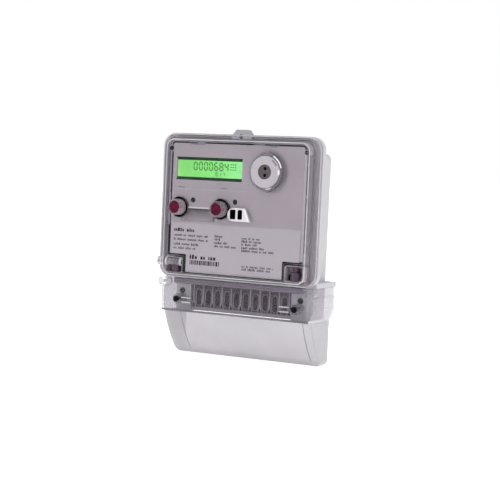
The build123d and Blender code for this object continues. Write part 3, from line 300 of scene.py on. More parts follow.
def own_place(tree, axis):
    """The object's own coordinate along X, Y or Z, in metres."""
    coords = tree.nodes.new("ShaderNodeTexCoord")
    split = tree.nodes.new("ShaderNodeSeparateXYZ")
    tree.links.new(coords.outputs["Object"], split.inputs[0])
    return split.outputs[axis]


def frosted_skirt(tree):
    """Haze of the terminal cover's skirt: none on the band, strong below its ledge."""
    to_node = NODES["terminal_cover"].matrix_world.inverted()
    ledge = (to_node @ Vector((0, 0, SKIRT_CLEAR_Z * MM))).z
    frost = (to_node @ Vector((0, 0, SKIRT_FROSTED_Z * MM))).z
    return between(tree, own_place(tree, "Z"), 0.5, 0.0, frost, ledge)


def lit_glass(name):
    """Lit liquid-crystal cell: green with a brighter right end and a soft uneven glow."""
    tree, out = start_material(name)
    make, link = tree.nodes.new, tree.links.new
    low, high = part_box("lcd_glass")
    along = between(tree, own_place(tree, "X"), 0, 1, low.x, high.x)
    ramp = make("ShaderNodeValToRGB")
    ramp.color_ramp.elements[0].color = (0.42, 0.85, 0.30, 1)
    ramp.color_ramp.elements[1].color = (0.36, 0.98, 0.36, 1)
    for place, colour in ((0.1, (0.21, 0.78, 0.15, 1)), (0.45, (0.22, 0.84, 0.15, 1)),
                          (0.85, (0.28, 0.95, 0.26, 1))):
        ramp.color_ramp.elements.new(place).color = colour
    link(along, ramp.inputs["Fac"])
    glow = between(tree, noise(tree, 60.0, 2.0), 0.82, 0.98)
    shader = make("ShaderNodeBsdfPrincipled")
    set_inputs(shader, Roughness=0.2, Emission_Strength=0.95)
    dim = make("ShaderNodeMix")
    dim.data_type = "RGBA"
    dim.blend_type = "MULTIPLY"
    dim.inputs[MIX_FACTOR].default_value = 1.0
    link(ramp.outputs["Color"], dim.inputs[MIX_FIRST])
    link(glow, dim.inputs[MIX_SECOND])
    link(dim.outputs[MIX_RESULT], shader.inputs["Emission Color"])
    link(blend_colours(tree, glow, (0.02, 0.05, 0.02), (0.03, 0.07, 0.03)), shader.inputs["Base Color"])
    link(shader.outputs[0], out.inputs["Surface"])


def glowing(name, colour, strength):
    """Opaque ink on the lit glass, with a faint glow of its own."""
    tree, out = start_material(name)
    shader = tree.nodes.new("ShaderNodeBsdfPrincipled")
    uneven = between(tree, noise(tree, 180.0, 3.0), 0, 1)
    tint = blend_colours(tree, uneven, shade(colour, 0.85), shade(colour, 1.15))
    tree.links.new(tint, shader.inputs["Emission Color"])
    tree.links.new(tint, shader.inputs["Base Color"])
    set_inputs(shader, Emission_Strength=strength, Roughness=0.4)
    tree.links.new(shader.outputs[0], out.inputs["Surface"])


SCOOP_SHADE_LOW, SCOOP_SHADE_HIGH = 0.022, 0.036  # metres


def sloped(name, low_colour, high_colour):
    """Painted shade in a moulded hollow: its colour changes from its lower edge to its upper one."""
    tree, out = start_material(name)
    shader = tree.nodes.new("ShaderNodeBsdfPrincipled")
    rise = between(tree, own_place(tree, "Z"), 0, 1, SCOOP_SHADE_LOW, SCOOP_SHADE_HIGH)
    wobble = tree.nodes.new("ShaderNodeMath")
    wobble.operation = "MULTIPLY"
    tree.links.new(rise, wobble.inputs[0])
    tree.links.new(between(tree, noise(tree, 160.0, 3.0), 0.88, 1.0), wobble.inputs[1])
    tree.links.new(blend_colours(tree, wobble.outputs[0], low_colour, high_colour),
                   shader.inputs["Base Color"])
    set_inputs(shader, Roughness=0.45)
    tree.links.new(shader.outputs[0], out.inputs["Surface"])


def make_materials():
    """Every material, each by its maker; the numbers follow the maker's parameters."""
    clear("clear_cover", (0.985, 0.98, 0.985), (0.86, 0.85, 0.87), (0.66, 0.64, 0.67), (0.0, 0.008), 0.5,
          rim_power=2.2)
    clear("clear_terminal_cover", (0.90, 0.895, 0.907), (0.64, 0.63, 0.65), (0.49, 0.47, 0.495),
          (0.005, 0.03), 0.75, 0.12, 0.4, frosted_skirt)
    solid("base_grey", (0.54, 0.525, 0.55), 0.5, 0.03)
    # Black of the panel strip and the wells' bars, and painted shade where it fills the panel's gaps, seams,
    # indicator holes and fixing holes
    solid("gasket_rubber", (0.0025, 0.002, 0.003), 0.7, 0.3, specular=0.03)
    solid("gasket_grey", (0.44, 0.42, 0.455), 0.7, 0.1)
    solid("panel_grey", (0.34, 0.307, 0.338), 0.42, 0.04)
    solid("label_sheet", (0.41, 0.385, 0.415), 0.4, 0.025, grain=4000, grain_depth=0.006)
    solid("screw_black", (0.005, 0.0045, 0.0055), 0.5, 0.3, 300, specular=0.08)
    solid("screw_steel", (0.5, 0.5, 0.52), 0.35, 0.12, 500, metal=1.0)
    solid("seal_metal", (0.075, 0.05, 0.075), 0.32, 0.35, 260, metal=0.6)
    solid("brass", (0.6, 0.42, 0.17), 0.3, 0.12, 400, metal=1.0)
    solid("copper", (0.55, 0.27, 0.17), 0.35, 0.15, 300, metal=1.0)
    lit_glass("lcd_green")
    solid("light_guide", (0.45, 0.85, 0.4), 0.3, 0.05)
    # The LCD frame's own dark green, and painted shade in the dark bands at the display window's top and
    # bottom
    solid("frame_dark_green", (0.002, 0.03, 0.004), 0.5, 0.2, specular=0.1)
    solid("led_red", (0.012, 0.002, 0.004), 0.5, 0.3, specular=0.05)
    # The collars' own black, and painted shade in the collar crescents and in the data port's windows
    solid("collar_black", (0.002, 0.0018, 0.0022), 0.7, 0.3, specular=0.03)
    solid("port_ring", (0.40, 0.37, 0.41), 0.38, 0.05, 120)
    clear("port_bezel_clear", (0.9, 0.89, 0.91), (0.62, 0.60, 0.64), (0.5, 0.48, 0.52), (0.1, 0.2), 0.35)
    solid("port_core", (0.062, 0.05, 0.057), 0.5, 0.12, 300)
    solid("diode_black", (0.004, 0.002, 0.004), 0.12, 0.3)
    # The data port housing's own pale colour; on the scoop's bar it is a painted highlight
    solid("data_frame", (0.60, 0.57, 0.605), 0.4, 0.04)
    solid("contact_gold", (0.55, 0.42, 0.2), 0.3, 0.15, 400, metal=1.0)
    clear("button_clear", (0.86, 0.8, 0.83), (0.62, 0.56, 0.6), (0.62, 0.55, 0.6), (0.05, 0.3), 0.3,
          0.04, 0.9)
    solid("button_maroon", (0.085, 0.002, 0.02), 0.35, 0.8, 420, specular=0.1)
    solid("spring_steel", (0.6, 0.6, 0.62), 0.25, 0.1, 500, metal=1.0)
    solid("block_violet", (0.045, 0.024, 0.05), 0.5, 0.12, 90)
    solid("pcb_green", (0.015, 0.11, 0.045), 0.35, 0.25, 700, coat=0.3)
    solid("ferrite", (0.06, 0.09, 0.13), 0.5, 0.2, 300)
    solid("seat_plastic", (0.03, 0.03, 0.03), 0.5, 0.2)
    solid("lamination", (0.14, 0.14, 0.15), 0.45, 0.3, 500, metal=0.7, stretch=(1, 14, 1))
    solid("winding", (0.6, 0.42, 0.06), 0.35, 0.15, 400, stretch=(1, 1, 12))
    solid("capacitor", (0.015, 0.025, 0.08), 0.3, 0.2, 200, coat=0.4)
    solid("varistor", (0.02, 0.06, 0.28), 0.35, 0.2, 300, coat=0.3)
    solid("battery", (0.06, 0.25, 0.16), 0.35, 0.1, 200, coat=0.3)
    solid("chip_black", (0.015, 0.015, 0.016), 0.5, 0.2, 600)
    solid("crystal_can", (0.62, 0.62, 0.64), 0.25, 0.08, 400, metal=1.0)
    solid("ribbon_grey", (0.35, 0.35, 0.38), 0.5, 0.2, 900, stretch=(1, 0.05, 1))
    solid("connector_white", (0.68, 0.65, 0.58), 0.45, 0.05)
    glowing("lcd_ink", (0.02, 0.12, 0.02), 0.5)
    solid("print_dark", (0.006, 0.005, 0.007), 0.6, 0.3, 900, specular=0.1)
    solid("print_grey", (0.02, 0.017, 0.021), 0.6, 0.3, 900, specular=0.1)
    # Painted shade on the port's outer lip and step, and in the seal barrel's bore
    solid("edge_painted_shade", (0.13, 0.115, 0.135), 0.3, 0.3, 160)
    # Painted shade in the small recessed slots on the port's disc
    solid("port_slot_shade", (0.12, 0.11, 0.115), 0.4, 0.2, 200)
    # The port's grooves in their own colour, and painted highlight along the panel's pale edge strips
    solid("groove_and_edge_highlight", (0.40, 0.38, 0.41), 0.4, 0.1, 200)
    # Painted highlight on the port's notch and bezel arcs, the data port's rib and inside the cover's tubes
    solid("painted_highlight_white", (0.74, 0.71, 0.75), 0.2, 0.05, 200)
    # Painted highlight along the cover's window and flange edges and on the seal barrel's rings
    clear("bead_painted_highlight", (0.98, 0.975, 0.98), (0.85, 0.84, 0.86), (0.68, 0.66, 0.69), (0.45, 0.65))
    # Painted shade at the root of the cover's window wall, just inside its edge and along the skirt's creases
    clear("bead_painted_shade", (0.9, 0.89, 0.91), (0.56, 0.54, 0.58), (0.27, 0.25, 0.285), (0.4, 0.6))
    solid("hood_violet", (0.28, 0.235, 0.305), 0.45, 0.12, 60)
    solid("rib_violet", (0.36, 0.31, 0.38), 0.4, 0.15, 80)
    # Painted shade at the backs of the terminal wells and at the feet of the ribs between them
    solid("well_painted_shade", (0.016, 0.006, 0.018), 0.6, 0.3, 120, specular=0.15)
    solid("ledge_pale", (0.42, 0.39, 0.435), 0.4, 0.06, 60)
    # Painted shade in the line under the terminal cover's band
    solid("ledge_painted_shade", (0.14, 0.13, 0.145), 0.4, 0.3, 50)
    # Painted shade: the hollow darkens towards its upper edge, under the bar
    sloped("scoop_shade", (0.31, 0.27, 0.305), (0.03, 0.024, 0.03))
    solid("screw_dark", (0.06, 0.055, 0.065), 0.45, 0.2, 400, metal=0.6)
    solid("lug_grey", (0.33, 0.32, 0.345), 0.4, 0.05)
    # Painted light: a pale milky lining that lightens the insides of the two corner wells
    clear("well_painted_light_liner", (0.95, 0.93, 0.945), (0.85, 0.82, 0.84), (0.62, 0.56, 0.6), (0.55, 0.8), 0.2)


FINISH = {
    "base_housing": "base_grey", "case_rim": "base_grey", "terminal_tray": "base_grey",
    "hanging_lug": "lug_grey", "panel_strip": "gasket_rubber", "terminal_block_face": "block_violet",
    "cover_gasket": "gasket_grey", "front_cover": "clear_cover",
    "cover_seal_screws": "seal_metal", "seal_plates": "seal_metal", "nameplate": "panel_grey",
    "label_plate": "label_sheet", "panel_screws": "screw_black", "lcd_glass": "lcd_green",
    "lcd_frame": "frame_dark_green", "lcd_backlight": "light_guide", "lcd_pins": "contact_gold",
    "pulse_leds": "led_red", "button_collars": "collar_black", "tact_switches": "chip_black",
    "optical_port_ring": "port_ring", "optical_port_bezel": "port_bezel_clear",
    "optical_port_core": "port_core",
    "infrared_diodes": "diode_black", "data_port_housing": "data_frame", "data_port_contacts": "contact_gold",
    "terminal_block": "block_violet", "terminal_block_chambers": "block_violet",
    "terminal_barrels": "brass", "terminal_screws": "screw_dark",
    "primary_links": "copper", "voltage_pins": "copper", "current_transformers": "ferrite",
    "transformer_seats": "seat_plastic", "main_board": "pcb_green",
    "display_board": "pcb_green", "board_screws": "screw_steel", "board_pillars": "connector_white",
    "supply_transformer_core": "lamination", "supply_transformer_winding": "winding",
    "smoothing_capacitors": "capacitor", "surge_varistors": "varistor", "backup_battery": "battery",
    "battery_holder": "seat_plastic", "metering_chips": "chip_black", "clock_crystal": "crystal_can",
    "board_ribbon": "ribbon_grey", "ribbon_connectors": "connector_white",
    "terminal_cover": "clear_terminal_cover", "threaded_bushes": "brass",
    "terminal_cover_screw_left": "screw_black", "terminal_cover_screw_right": "screw_black",
}
for side in ("left", "right"):
    FINISH[side + "_button_sleeve"] = "button_clear"
    FINISH[side + "_button_core"] = "button_maroon"
    FINISH[side + "_button_clip"] = "spring_steel"
    FINISH[side + "_button_spring"] = "spring_steel"


def dress_cad_nodes():
    """Give every CAD node its material."""
    for name, node in NODES.items():
        material = MATERIALS[FINISH[name]]
        if not node.material_slots:
            node.data.materials.append(material)
        for slot in node.material_slots:
            slot.material = material


# ---- mesh tools
def millimetres(*values):
    """A point given in millimetres, in metres."""
    return Vector(values) * MM


def box_in_millimetres(name):
    """Lowest and highest corner of a CAD node."""
    return [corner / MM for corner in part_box(name)]


def add_piece(name, mesh_data, material, body="case", replaces=(), smooth=False):
    """Link a finished mesh (from bmesh) as a piece of the object."""
    mesh = bpy.data.meshes.new(name)
    bmesh.ops.remove_doubles(mesh_data, verts=mesh_data.verts, dist=1e-7)
    bmesh.ops.recalc_face_normals(mesh_data, faces=mesh_data.faces)
    mesh_data.to_mesh(mesh)
    mesh_data.free()
    for polygon in mesh.polygons:
        polygon.use_smooth = smooth
    mesh.materials.append(MATERIALS[material])
    piece = bpy.data.objects.new(name, mesh)
    bpy.context.scene.collection.objects.link(piece)
    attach(piece, body)
    if replaces:
        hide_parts(*replaces)
    return piece


def soften(piece, width, segments=2, angle=35):
    """Round the piece's sharp edges."""
    modifier = piece.modifiers.new("soften", "BEVEL")
    modifier.width = width * MM
    modifier.segments = segments
    modifier.limit_method = "ANGLE"
    modifier.angle_limit = math.radians(angle)
    modifier.harden_normals = False


def prism(mesh_data, outline, front, back):
    """A plate with the outline (x, z) between two depths, in millimetres."""
    near = [mesh_data.verts.new(millimetres(x, front, z)) for x, z in outline]
    far = [mesh_data.verts.new(millimetres(x, back, z)) for x, z in outline]
    mesh_data.faces.new(near)
    mesh_data.faces.new(far[::-1])
    count = len(outline)
    for index in range(count):
        after = (index + 1) % count
        mesh_data.faces.new((near[index], far[index], far[after], near[after]))


def slab(mesh_data, x0, x1, z0, z1, front, back):
    """A plate with square corners between two depths."""
    prism(mesh_data, [(x0, z0), (x1, z0), (x1, z1), (x0, z1)], front, back)


def mirrored(side, near, far):
    """The lower and the higher x of two distances from the centre line, on the side -1 or 1."""
    return sorted((side * near, side * far))


def loft(mesh_data, rings, closed=True, caps=(False, False)):
    """Skin a row of rings, each a list of points with the same count."""
    rows = [[mesh_data.verts.new(millimetres(*point)) for point in ring] for ring in rings]
    count = len(rows[0])
    for low, high in zip(rows, rows[1:]):
        for index in range(count if closed else count - 1):
            after = (index + 1) % count
            mesh_data.faces.new((low[index], low[after], high[after], high[index]))
    if caps[0]:
        mesh_data.faces.new(rows[0][::-1])
    if caps[1]:
        mesh_data.faces.new(rows[-1])


def bar_along_x(mesh_data, section, places):
    """A closed bar with the section (y, z) at each place in x."""
    loft(mesh_data, [[(x, y, z) for y, z in section] for x in places], caps=(True, True))


def lathe(mesh_data, x, z, profile, sides=64, start=0.0):
    """Turn a profile of (radius, y) about an axis along Y."""
    rings = []
    for radius, y in profile:
        turn = [start + 2 * math.pi * k / sides for k in range(sides)]
        rings.append([(x + radius * math.cos(a), y, z + radius * math.sin(a)) for a in turn])
    loft(mesh_data, rings)


def arc_band(mesh_data, x, z, radii, depths, angles, steps=20):
    """A curved bar with a rectangular section, about an axis along Y; angles in degrees."""
    inner, outer = radii
    front, back = depths
    rings = []
    for step in range(steps + 1):
        a = math.radians(angles[0] + (angles[1] - angles[0]) * step / steps)
        section = ((inner, front), (outer, front), (outer, back), (inner, back))
        rings.append([(x + r * math.cos(a), y, z + r * math.sin(a)) for r, y in section])
    loft(mesh_data, rings, caps=(True, True))


def rounded_path(x0, x1, z0, z1, radius, steps=10):
    """Points round a rectangle with round corners."""
    points = []
    for cx, cz, turn in ((x1 - radius, z1 - radius, 0), (x0 + radius, z1 - radius, 90),
                         (x0 + radius, z0 + radius, 180), (x1 - radius, z0 + radius, 270)):
        for step in range(steps + 1):
            a = math.radians(turn + 90 * step / steps)
            points.append((cx + radius * math.cos(a), cz + radius * math.sin(a)))
    return points


def cup(mesh_data, bounds, radius, front, back, wall):
    """A thin tray with round corners, open at the front."""
    x0, x1, z0, z1 = bounds
    outer = rounded_path(x0, x1, z0, z1, radius, 6)
    inner = rounded_path(x0 + wall, x1 - wall, z0 + wall, z1 - wall, radius - wall, 6)
    rings = [(outer, back), (outer, front), (inner, front), (inner, back - wall)]
    loft(mesh_data, [[(x, y, z) for x, z in path] for path, y in rings], caps=(True, True))


def tube_along_x(mesh_data, y, z, profile, sides=40, caps=(False, False)):
    """Turn a profile of (radius, x) about an axis along X."""
    rings = []
    for radius, x in profile:
        turn = [2 * math.pi * k / sides for k in range(sides)]
        rings.append([(x, y + radius * math.cos(a), z + radius * math.sin(a)) for a in turn])
    loft(mesh_data, rings, caps=caps)


def bead(mesh_data, bounds, radius, half_width, front, back):
    """A rounded bead along a rectangle with round corners."""
    x0, x1, z0, z1 = bounds
    section = [(-half_width, back), (-half_width, (front + back) / 2), (-half_width * 0.6, front),
               (half_width * 0.6, front), (half_width, (front + back) / 2), (half_width, back)]
    rings = []
    for shift, y in section:
        path = rounded_path(x0 - shift, x1 + shift, z0 - shift, z1 + shift, radius + shift)
        rings.append([(x, y, z) for x, z in path])
    rings.append(rings[0])
    loft(mesh_data, rings)


# ---- display
GLASS = box_in_millimetres("lcd_glass")
PANEL = box_in_millimetres("nameplate")
PANEL_FRONT = PANEL[0].y
INK_DEPTH = 0.03
WINDOW_LEFT = GLASS[0].x + 2.4
WINDOW_RIGHT = GLASS[1].x - 2.4
WINDOW_LOW = GLASS[0].z + 3.4
WINDOW_HIGH = GLASS[1].z - 3.4
SEGMENTS = {"0": "abcdef", "1": "bc", "2": "abged", "3": "abgcd", "4": "fgbc", "5": "afgcd", "6": "afgedc",
            "7": "abc", "8": "abcdefg", "9": "abcdfg"}
# Rows of figures: text, left end, foot, pitch, width, height and thickness of a bar
READING = ("0000684", -50.6, 73.0, 5.9, 4.7, 8.8, 1.3)
REGISTER = ("017", -25.4, 67.9, 4.2, 2.6, 3.9, 0.85)
MARKS_LEFT, MARKS_LOW = -8.6, 74.4
MARK_PITCH_X, MARK_PITCH_Z = 2.5, 2.6
MARK_WIDTH, MARK_HEIGHT = 1.7, 0.9


def segment_outline(letter, x, z, width, height, thick):
    """One bar of a seven-segment figure whose lower left corner is at x, z."""
    half = thick / 2
    tip, shoulder, gap = half * 1.3, thick * 1.1, half * 0.3
    middle = z + height / 2
    levels = {"a": z + height - half, "g": middle, "d": z + half}
    if letter in levels:
        level = levels[letter]
        return [(x + tip, level), (x + shoulder, level - half), (x + width - shoulder, level - half),
                (x + width - tip, level), (x + width - shoulder, level + half), (x + shoulder, level + half)]
    column = x + half if letter in "fe" else x + width - half
    low, high = (middle, z + height - half) if letter in "fb" else (z + half, middle)
    low += gap
    high -= gap
    return [(column, low), (column + half, low + half), (column + half, high - half), (column, high),
            (column - half, high - half), (column - half, low + half)]


def write_figures(mesh_data, text, left, foot, pitch, width, height, thick):
    """A row of seven-segment figures on the face of the glass."""
    for place, figure in enumerate(text):
        for letter in SEGMENTS[figure]:
            outline = segment_outline(letter, left + place * pitch, foot, width, height, thick)
            prism(mesh_data, outline, GLASS[0].y - INK_DEPTH, GLASS[0].y)


def band_section(low, height):
    """Slightly crowned bar on the face of the glass."""
    front = GLASS[0].y - 0.25
    return [(GLASS[0].y, low), (front + 0.1, low), (front, low + height * 0.3), (front, low + height * 0.7),
            (front + 0.1, low + height), (GLASS[0].y, low + height)]


def window_ring(grow, depth, radius):
    """Ring round the display's window, grown outwards, at a depth behind the panel's face."""
    path = rounded_path(WINDOW_LEFT - grow, WINDOW_RIGHT + grow, WINDOW_LOW - grow, WINDOW_HIGH + grow,
                        radius, 5)
    return [(x, PANEL_FRONT + depth, z) for x, z in path]


def make_display():
    """Figures, unit marks, dark bands of painted shade above and below the lit area, and the window's lip."""
    digits = bmesh.new()
    write_figures(digits, *READING)
    write_figures(digits, *REGISTER)
    for row in range(3):
        for column in range(3):
            x, z = MARKS_LEFT + MARK_PITCH_X * column, MARKS_LOW + MARK_PITCH_Z * row
            slab(digits, x, x + MARK_WIDTH, z, z + MARK_HEIGHT, GLASS[0].y - INK_DEPTH, GLASS[0].y)
    add_piece("display_digits", digits, "lcd_ink")
    bands = bmesh.new()
    for low in (WINDOW_LOW - 0.3, WINDOW_HIGH - 1.9):
        bar_along_x(bands, band_section(low, 2.2), (WINDOW_LEFT - 1, WINDOW_RIGHT + 1))
    for low in (WINDOW_LOW - 1.1, WINDOW_HIGH - 0.4):
        slab(bands, WINDOW_LEFT - 0.4, WINDOW_RIGHT + 0.2, low, low + 1.5, PANEL_FRONT - 0.14,
             PANEL_FRONT + 0.4)
    add_piece("display_shade_bands", bands, "frame_dark_green")
    lip = bmesh.new()
    loft(lip, [window_ring(0.9, 0.0, 1.2), window_ring(0.5, -0.12, 1.0), window_ring(0.0, 0.5, 0.6)])
    add_piece("display_lip", lip, "label_sheet")


# ---- printing
PRINT_SEED = 41
# Rows of fine print: the rows' left end, then each row's foot and right end
PRINT_ROWS = {
    -69.2: ((6.4, -28.0), (2.2, -28.5), (-2.6, -38.5), (-6.6, -42.5)),
    -22.0: ((7.5, -12.5), (4.4, -14.0), (0.9, -7.5), (-2.4, 2.6)),
    8.6: ((7.2, 29.0), (4.2, 33.0), (1.2, 26.0), (-2.1, 34.3), (-5.0, 45.4)),
    9.8: ((-20.5, 46.0), (-23.4, 41.7)),
}


def words(mesh_data, rng, x0, x1, z, height, bold=1.0):
    """A row of word-like marks: short strokes in groups, like print too small to read."""
    x = x0
    while x < x1:
        letters = rng.randint(2, 7)
        for _ in range(letters):
            stroke = height * rng.choice((0.28, 0.34, 0.5)) * bold
            tall = height * rng.choice((0.72, 0.72, 1.0))
            if x + stroke > x1:
                return
            slab(mesh_data, x, x + stroke, z, z + tall, PANEL_FRONT - INK_DEPTH, PANEL_FRONT)
            x += stroke + height * 0.2
        x += height * 0.75


def make_print():
    """Generic print: rows of marks, a bar pattern and short dashes, with nothing to read."""
    rng = random.Random(PRINT_SEED)
    bold = bmesh.new()
    words(bold, rng, -69.4, -45.0, 11.2, 3.5, 1.4)
    words(bold, rng, -49.8, -18.5, -15.8, 4.2, 1.2)
    add_piece("label_print_bold", bold, "print_dark")
    fine = bmesh.new()
    for left, rows in PRINT_ROWS.items():
        for z, right in rows:
            words(fine, rng, left, right, z, 2.3)
    for x, z in ((-65.4, 55.5), (-16.6, 56.0), (-18.6, 19.3)):
        words(fine, rng, x, x + 6.6, z, 0.9, 1.3)
    add_piece("label_print_fine", fine, "print_grey")
    bars = bmesh.new()
    x, bars_end = -49.5, -16.6
    while x < bars_end:
        wide = rng.choice((0.9, 1.3, 1.7))
        slab(bars, x, x + wide, -21.4, -17.0, PANEL_FRONT - INK_DEPTH, PANEL_FRONT)
        x += wide + rng.choice((0.5, 0.7, 0.9))
    add_piece("label_bars", bars, "print_dark")


PANEL_HALF_WIDTH = 73.5  # without the tabs that its box includes


def make_panel_edges():
    """Dark gap lines of painted shade along the panel, pale strips of painted highlight over the label and at
    its right edge, and the step under the display.
    """
    left, right = -PANEL_HALF_WIDTH, PANEL_HALF_WIDTH
    front, back = PANEL_FRONT - 0.3, PANEL_FRONT + 1.0
    gaps = bmesh.new()
    for x0, x1 in ((-72.4, -46.0), (-34.0, 15.0), (31.5, 71.3)):
        slab(gaps, x0, x1, PANEL[1].z + 0.05, PANEL[1].z + 1.3, front, back)
    slab(gaps, -56.5, 56.0, PANEL[0].z - 1.5, PANEL[0].z - 0.05, front, back)
    slab(gaps, left - 2.5, left - 0.1, -12.0, 17.5, front, back)
    slab(gaps, left - 1.6, left - 0.1, 50.0, 90.0, front, back)
    soften(add_piece("panel_gap_shadows", gaps, "gasket_rubber"), 0.15)
    pale = bmesh.new()
    slab(pale, left + 0.4, right - 0.6, 18.7, 19.9, PANEL_FRONT - 0.1, PANEL_FRONT + 0.1)
    slab(pale, right + 0.1, right + 2.6, -10.5, 96.0, PANEL_FRONT - 0.2, back)
    soften(add_piece("panel_edge_highlights", pale, "groove_and_edge_highlight"), 0.1)
    step = bmesh.new()
    step_end = 9.0
    slab(step, left + 0.4, step_end, 53.7, 54.3, PANEL_FRONT - 0.08, PANEL_FRONT + 0.1)
    slab(step, 8.6, step_end, 27.0, 53.8, PANEL_FRONT - 0.06, PANEL_FRONT + 0.1)
    soften(add_piece("panel_step_line", step, "label_sheet"), 0.05)


# ---- front panel details
PULSE_INDICATORS = {"left": (-48.5, 43.3), "right": (-0.7, 43.5)}


def make_pulse_shades():
    """Black discs with a pinhole in the panel's holes in front of the two indicator diodes: painted shade
    that makes the holes read black.
    """
    pinhole = 0.15
    profile = [(pinhole, PANEL_FRONT - 0.3), (2.3, PANEL_FRONT - 0.3), (2.6, PANEL_FRONT - 0.1),
               (2.6, PANEL_FRONT + 0.2), (2.2, PANEL_FRONT + 0.9), (pinhole, PANEL_FRONT + 0.9),
               (pinhole, PANEL_FRONT - 0.3)]
    for name, (x, z) in PULSE_INDICATORS.items():
        shade_disc = bmesh.new()
        lathe(shade_disc, x, z, profile, 40)
        add_piece(name + "_pulse_shade", shade_disc, "gasket_rubber")


def make_scoop():
    """Hollow between the buttons, darkened by painted shade, with a pale bar of painted highlight and a brow
    along its upper edge.
    """
    x0, x1 = -54.9, -24.3
    low, high = 22.4, 35.4
    deepest = 3.6
    columns, rows = 28, 16
    sheet = bmesh.new()
    grid = []
    for row in range(rows + 1):
        rise = row / rows
        z = low + (high - low) * rise
        ring = []
        for column in range(columns + 1):
            across = column / columns
            edge = 1 - abs(2 * across - 1) ** 6
            depth = deepest * rise ** 1.4 * edge
            ring.append((x0 + (x1 - x0) * across, PANEL_FRONT - 0.15 + depth, z))
        grid.append(ring)
    loft(sheet, grid, closed=False)
    piece = add_piece("scoop_liner", sheet, "scoop_shade", smooth=True)
    thick = piece.modifiers.new("thickness", "SOLIDIFY")
    thick.thickness = 0.3 * MM
    # Pale bar: painted highlight on the lit upper lip of the hollow
    bar = bmesh.new()
    section = [(PANEL_FRONT, high - 0.6), (PANEL_FRONT - 0.9, high - 0.3), (PANEL_FRONT - 1.1, high + 0.6),
               (PANEL_FRONT - 0.5, high + 1.3), (PANEL_FRONT, high + 1.4)]
    bar_along_x(bar, section, (x0 + 1, x0 + 12, x1 - 12, x1))
    soften(add_piece("scoop_lip_highlight", bar, "data_frame"), 0.15)
    brow = bmesh.new()
    slab(brow, x0, x1, high + 0.8, high + 3.4, PANEL_FRONT - 0.12, PANEL_FRONT + 0.2)
    add_piece("scoop_brow", brow, "panel_grey")


def make_cover_clips():
    """Clear ribs that hold the panel down at its top edge, and small nubs at its left edge."""
    clips = bmesh.new()
    front, back = PANEL_FRONT - 0.9, PANEL_FRONT - 0.1
    foot, top, slope = 98.6, 102.2, 2.5
    for x0, x1 in ((-56.0, -35.0), (33.0, 46.0)):
        prism(clips, [(x0, top), (x0 + slope, foot), (x1 - slope, foot), (x1, top)], front, back)
    for z in (19.0, -9.0):
        slab(clips, -78.2, -75.4, z - 1.6, z + 1.6, front, back)
    soften(add_piece("cover_clips", clips, "port_bezel_clear"), 0.4, 3)


# The panel's lower corner cut-outs and the cover's wells in them, by distance from the centre line
CUTOUT_SIDE, CUTOUT_TOP, CUTOUT_LOW = 54.4, -11.7, -29.6
WELL_NEAR, WELL_FAR, WELL_LOW, WELL_TOP = 57.65, 77.85, -30.45, -14.95
WELL_FRONT, WELL_FLOOR = -59.8, -48.1


def make_well_details():
    """Pale linings of painted light in the two corner wells, their dark bars, and dark seams of painted shade
    along the panel's cut-out.
    """
    front, back = PANEL_FRONT - 0.15, PANEL_FRONT + 1.4
    for name, side in (("left", -1), ("right", 1)):
        liner = bmesh.new()
        bounds = (*mirrored(side, WELL_NEAR, WELL_FAR), WELL_LOW, WELL_TOP)
        cup(liner, bounds, 2.5, WELL_FRONT, WELL_FLOOR, 0.35)
        add_piece(name + "_well_painted_light_liner", liner, "well_painted_light_liner")
        seams = bmesh.new()
        slab(seams, *mirrored(side, CUTOUT_SIDE, 75.5), CUTOUT_TOP - 0.9, CUTOUT_TOP + 0.3, front, back)
        wide = 3.0 if side < 0 else 1.1
        near, far = CUTOUT_SIDE - 0.2, CUTOUT_SIDE + wide
        slab(seams, *mirrored(side, near, far), CUTOUT_LOW, CUTOUT_TOP, front, back)
        soften(add_piece(name + "_well_seam_shadows", seams, "gasket_rubber"), 0.2)
        bars = bmesh.new()
        for near in (57.9, 61.3):
            slab(bars, *mirrored(side, near, near + 1.6), -30.2, -24.4, -51.0, -48.2)
        soften(add_piece(name + "_well_bars", bars, "gasket_rubber"), 0.2)


# ---- push-buttons
BUTTONS = {"left": -63.5, "right": -15.8}
BUTTON_Z = 35.7
SLEEVE_FACETS = 12
CORE_FACETS = 10


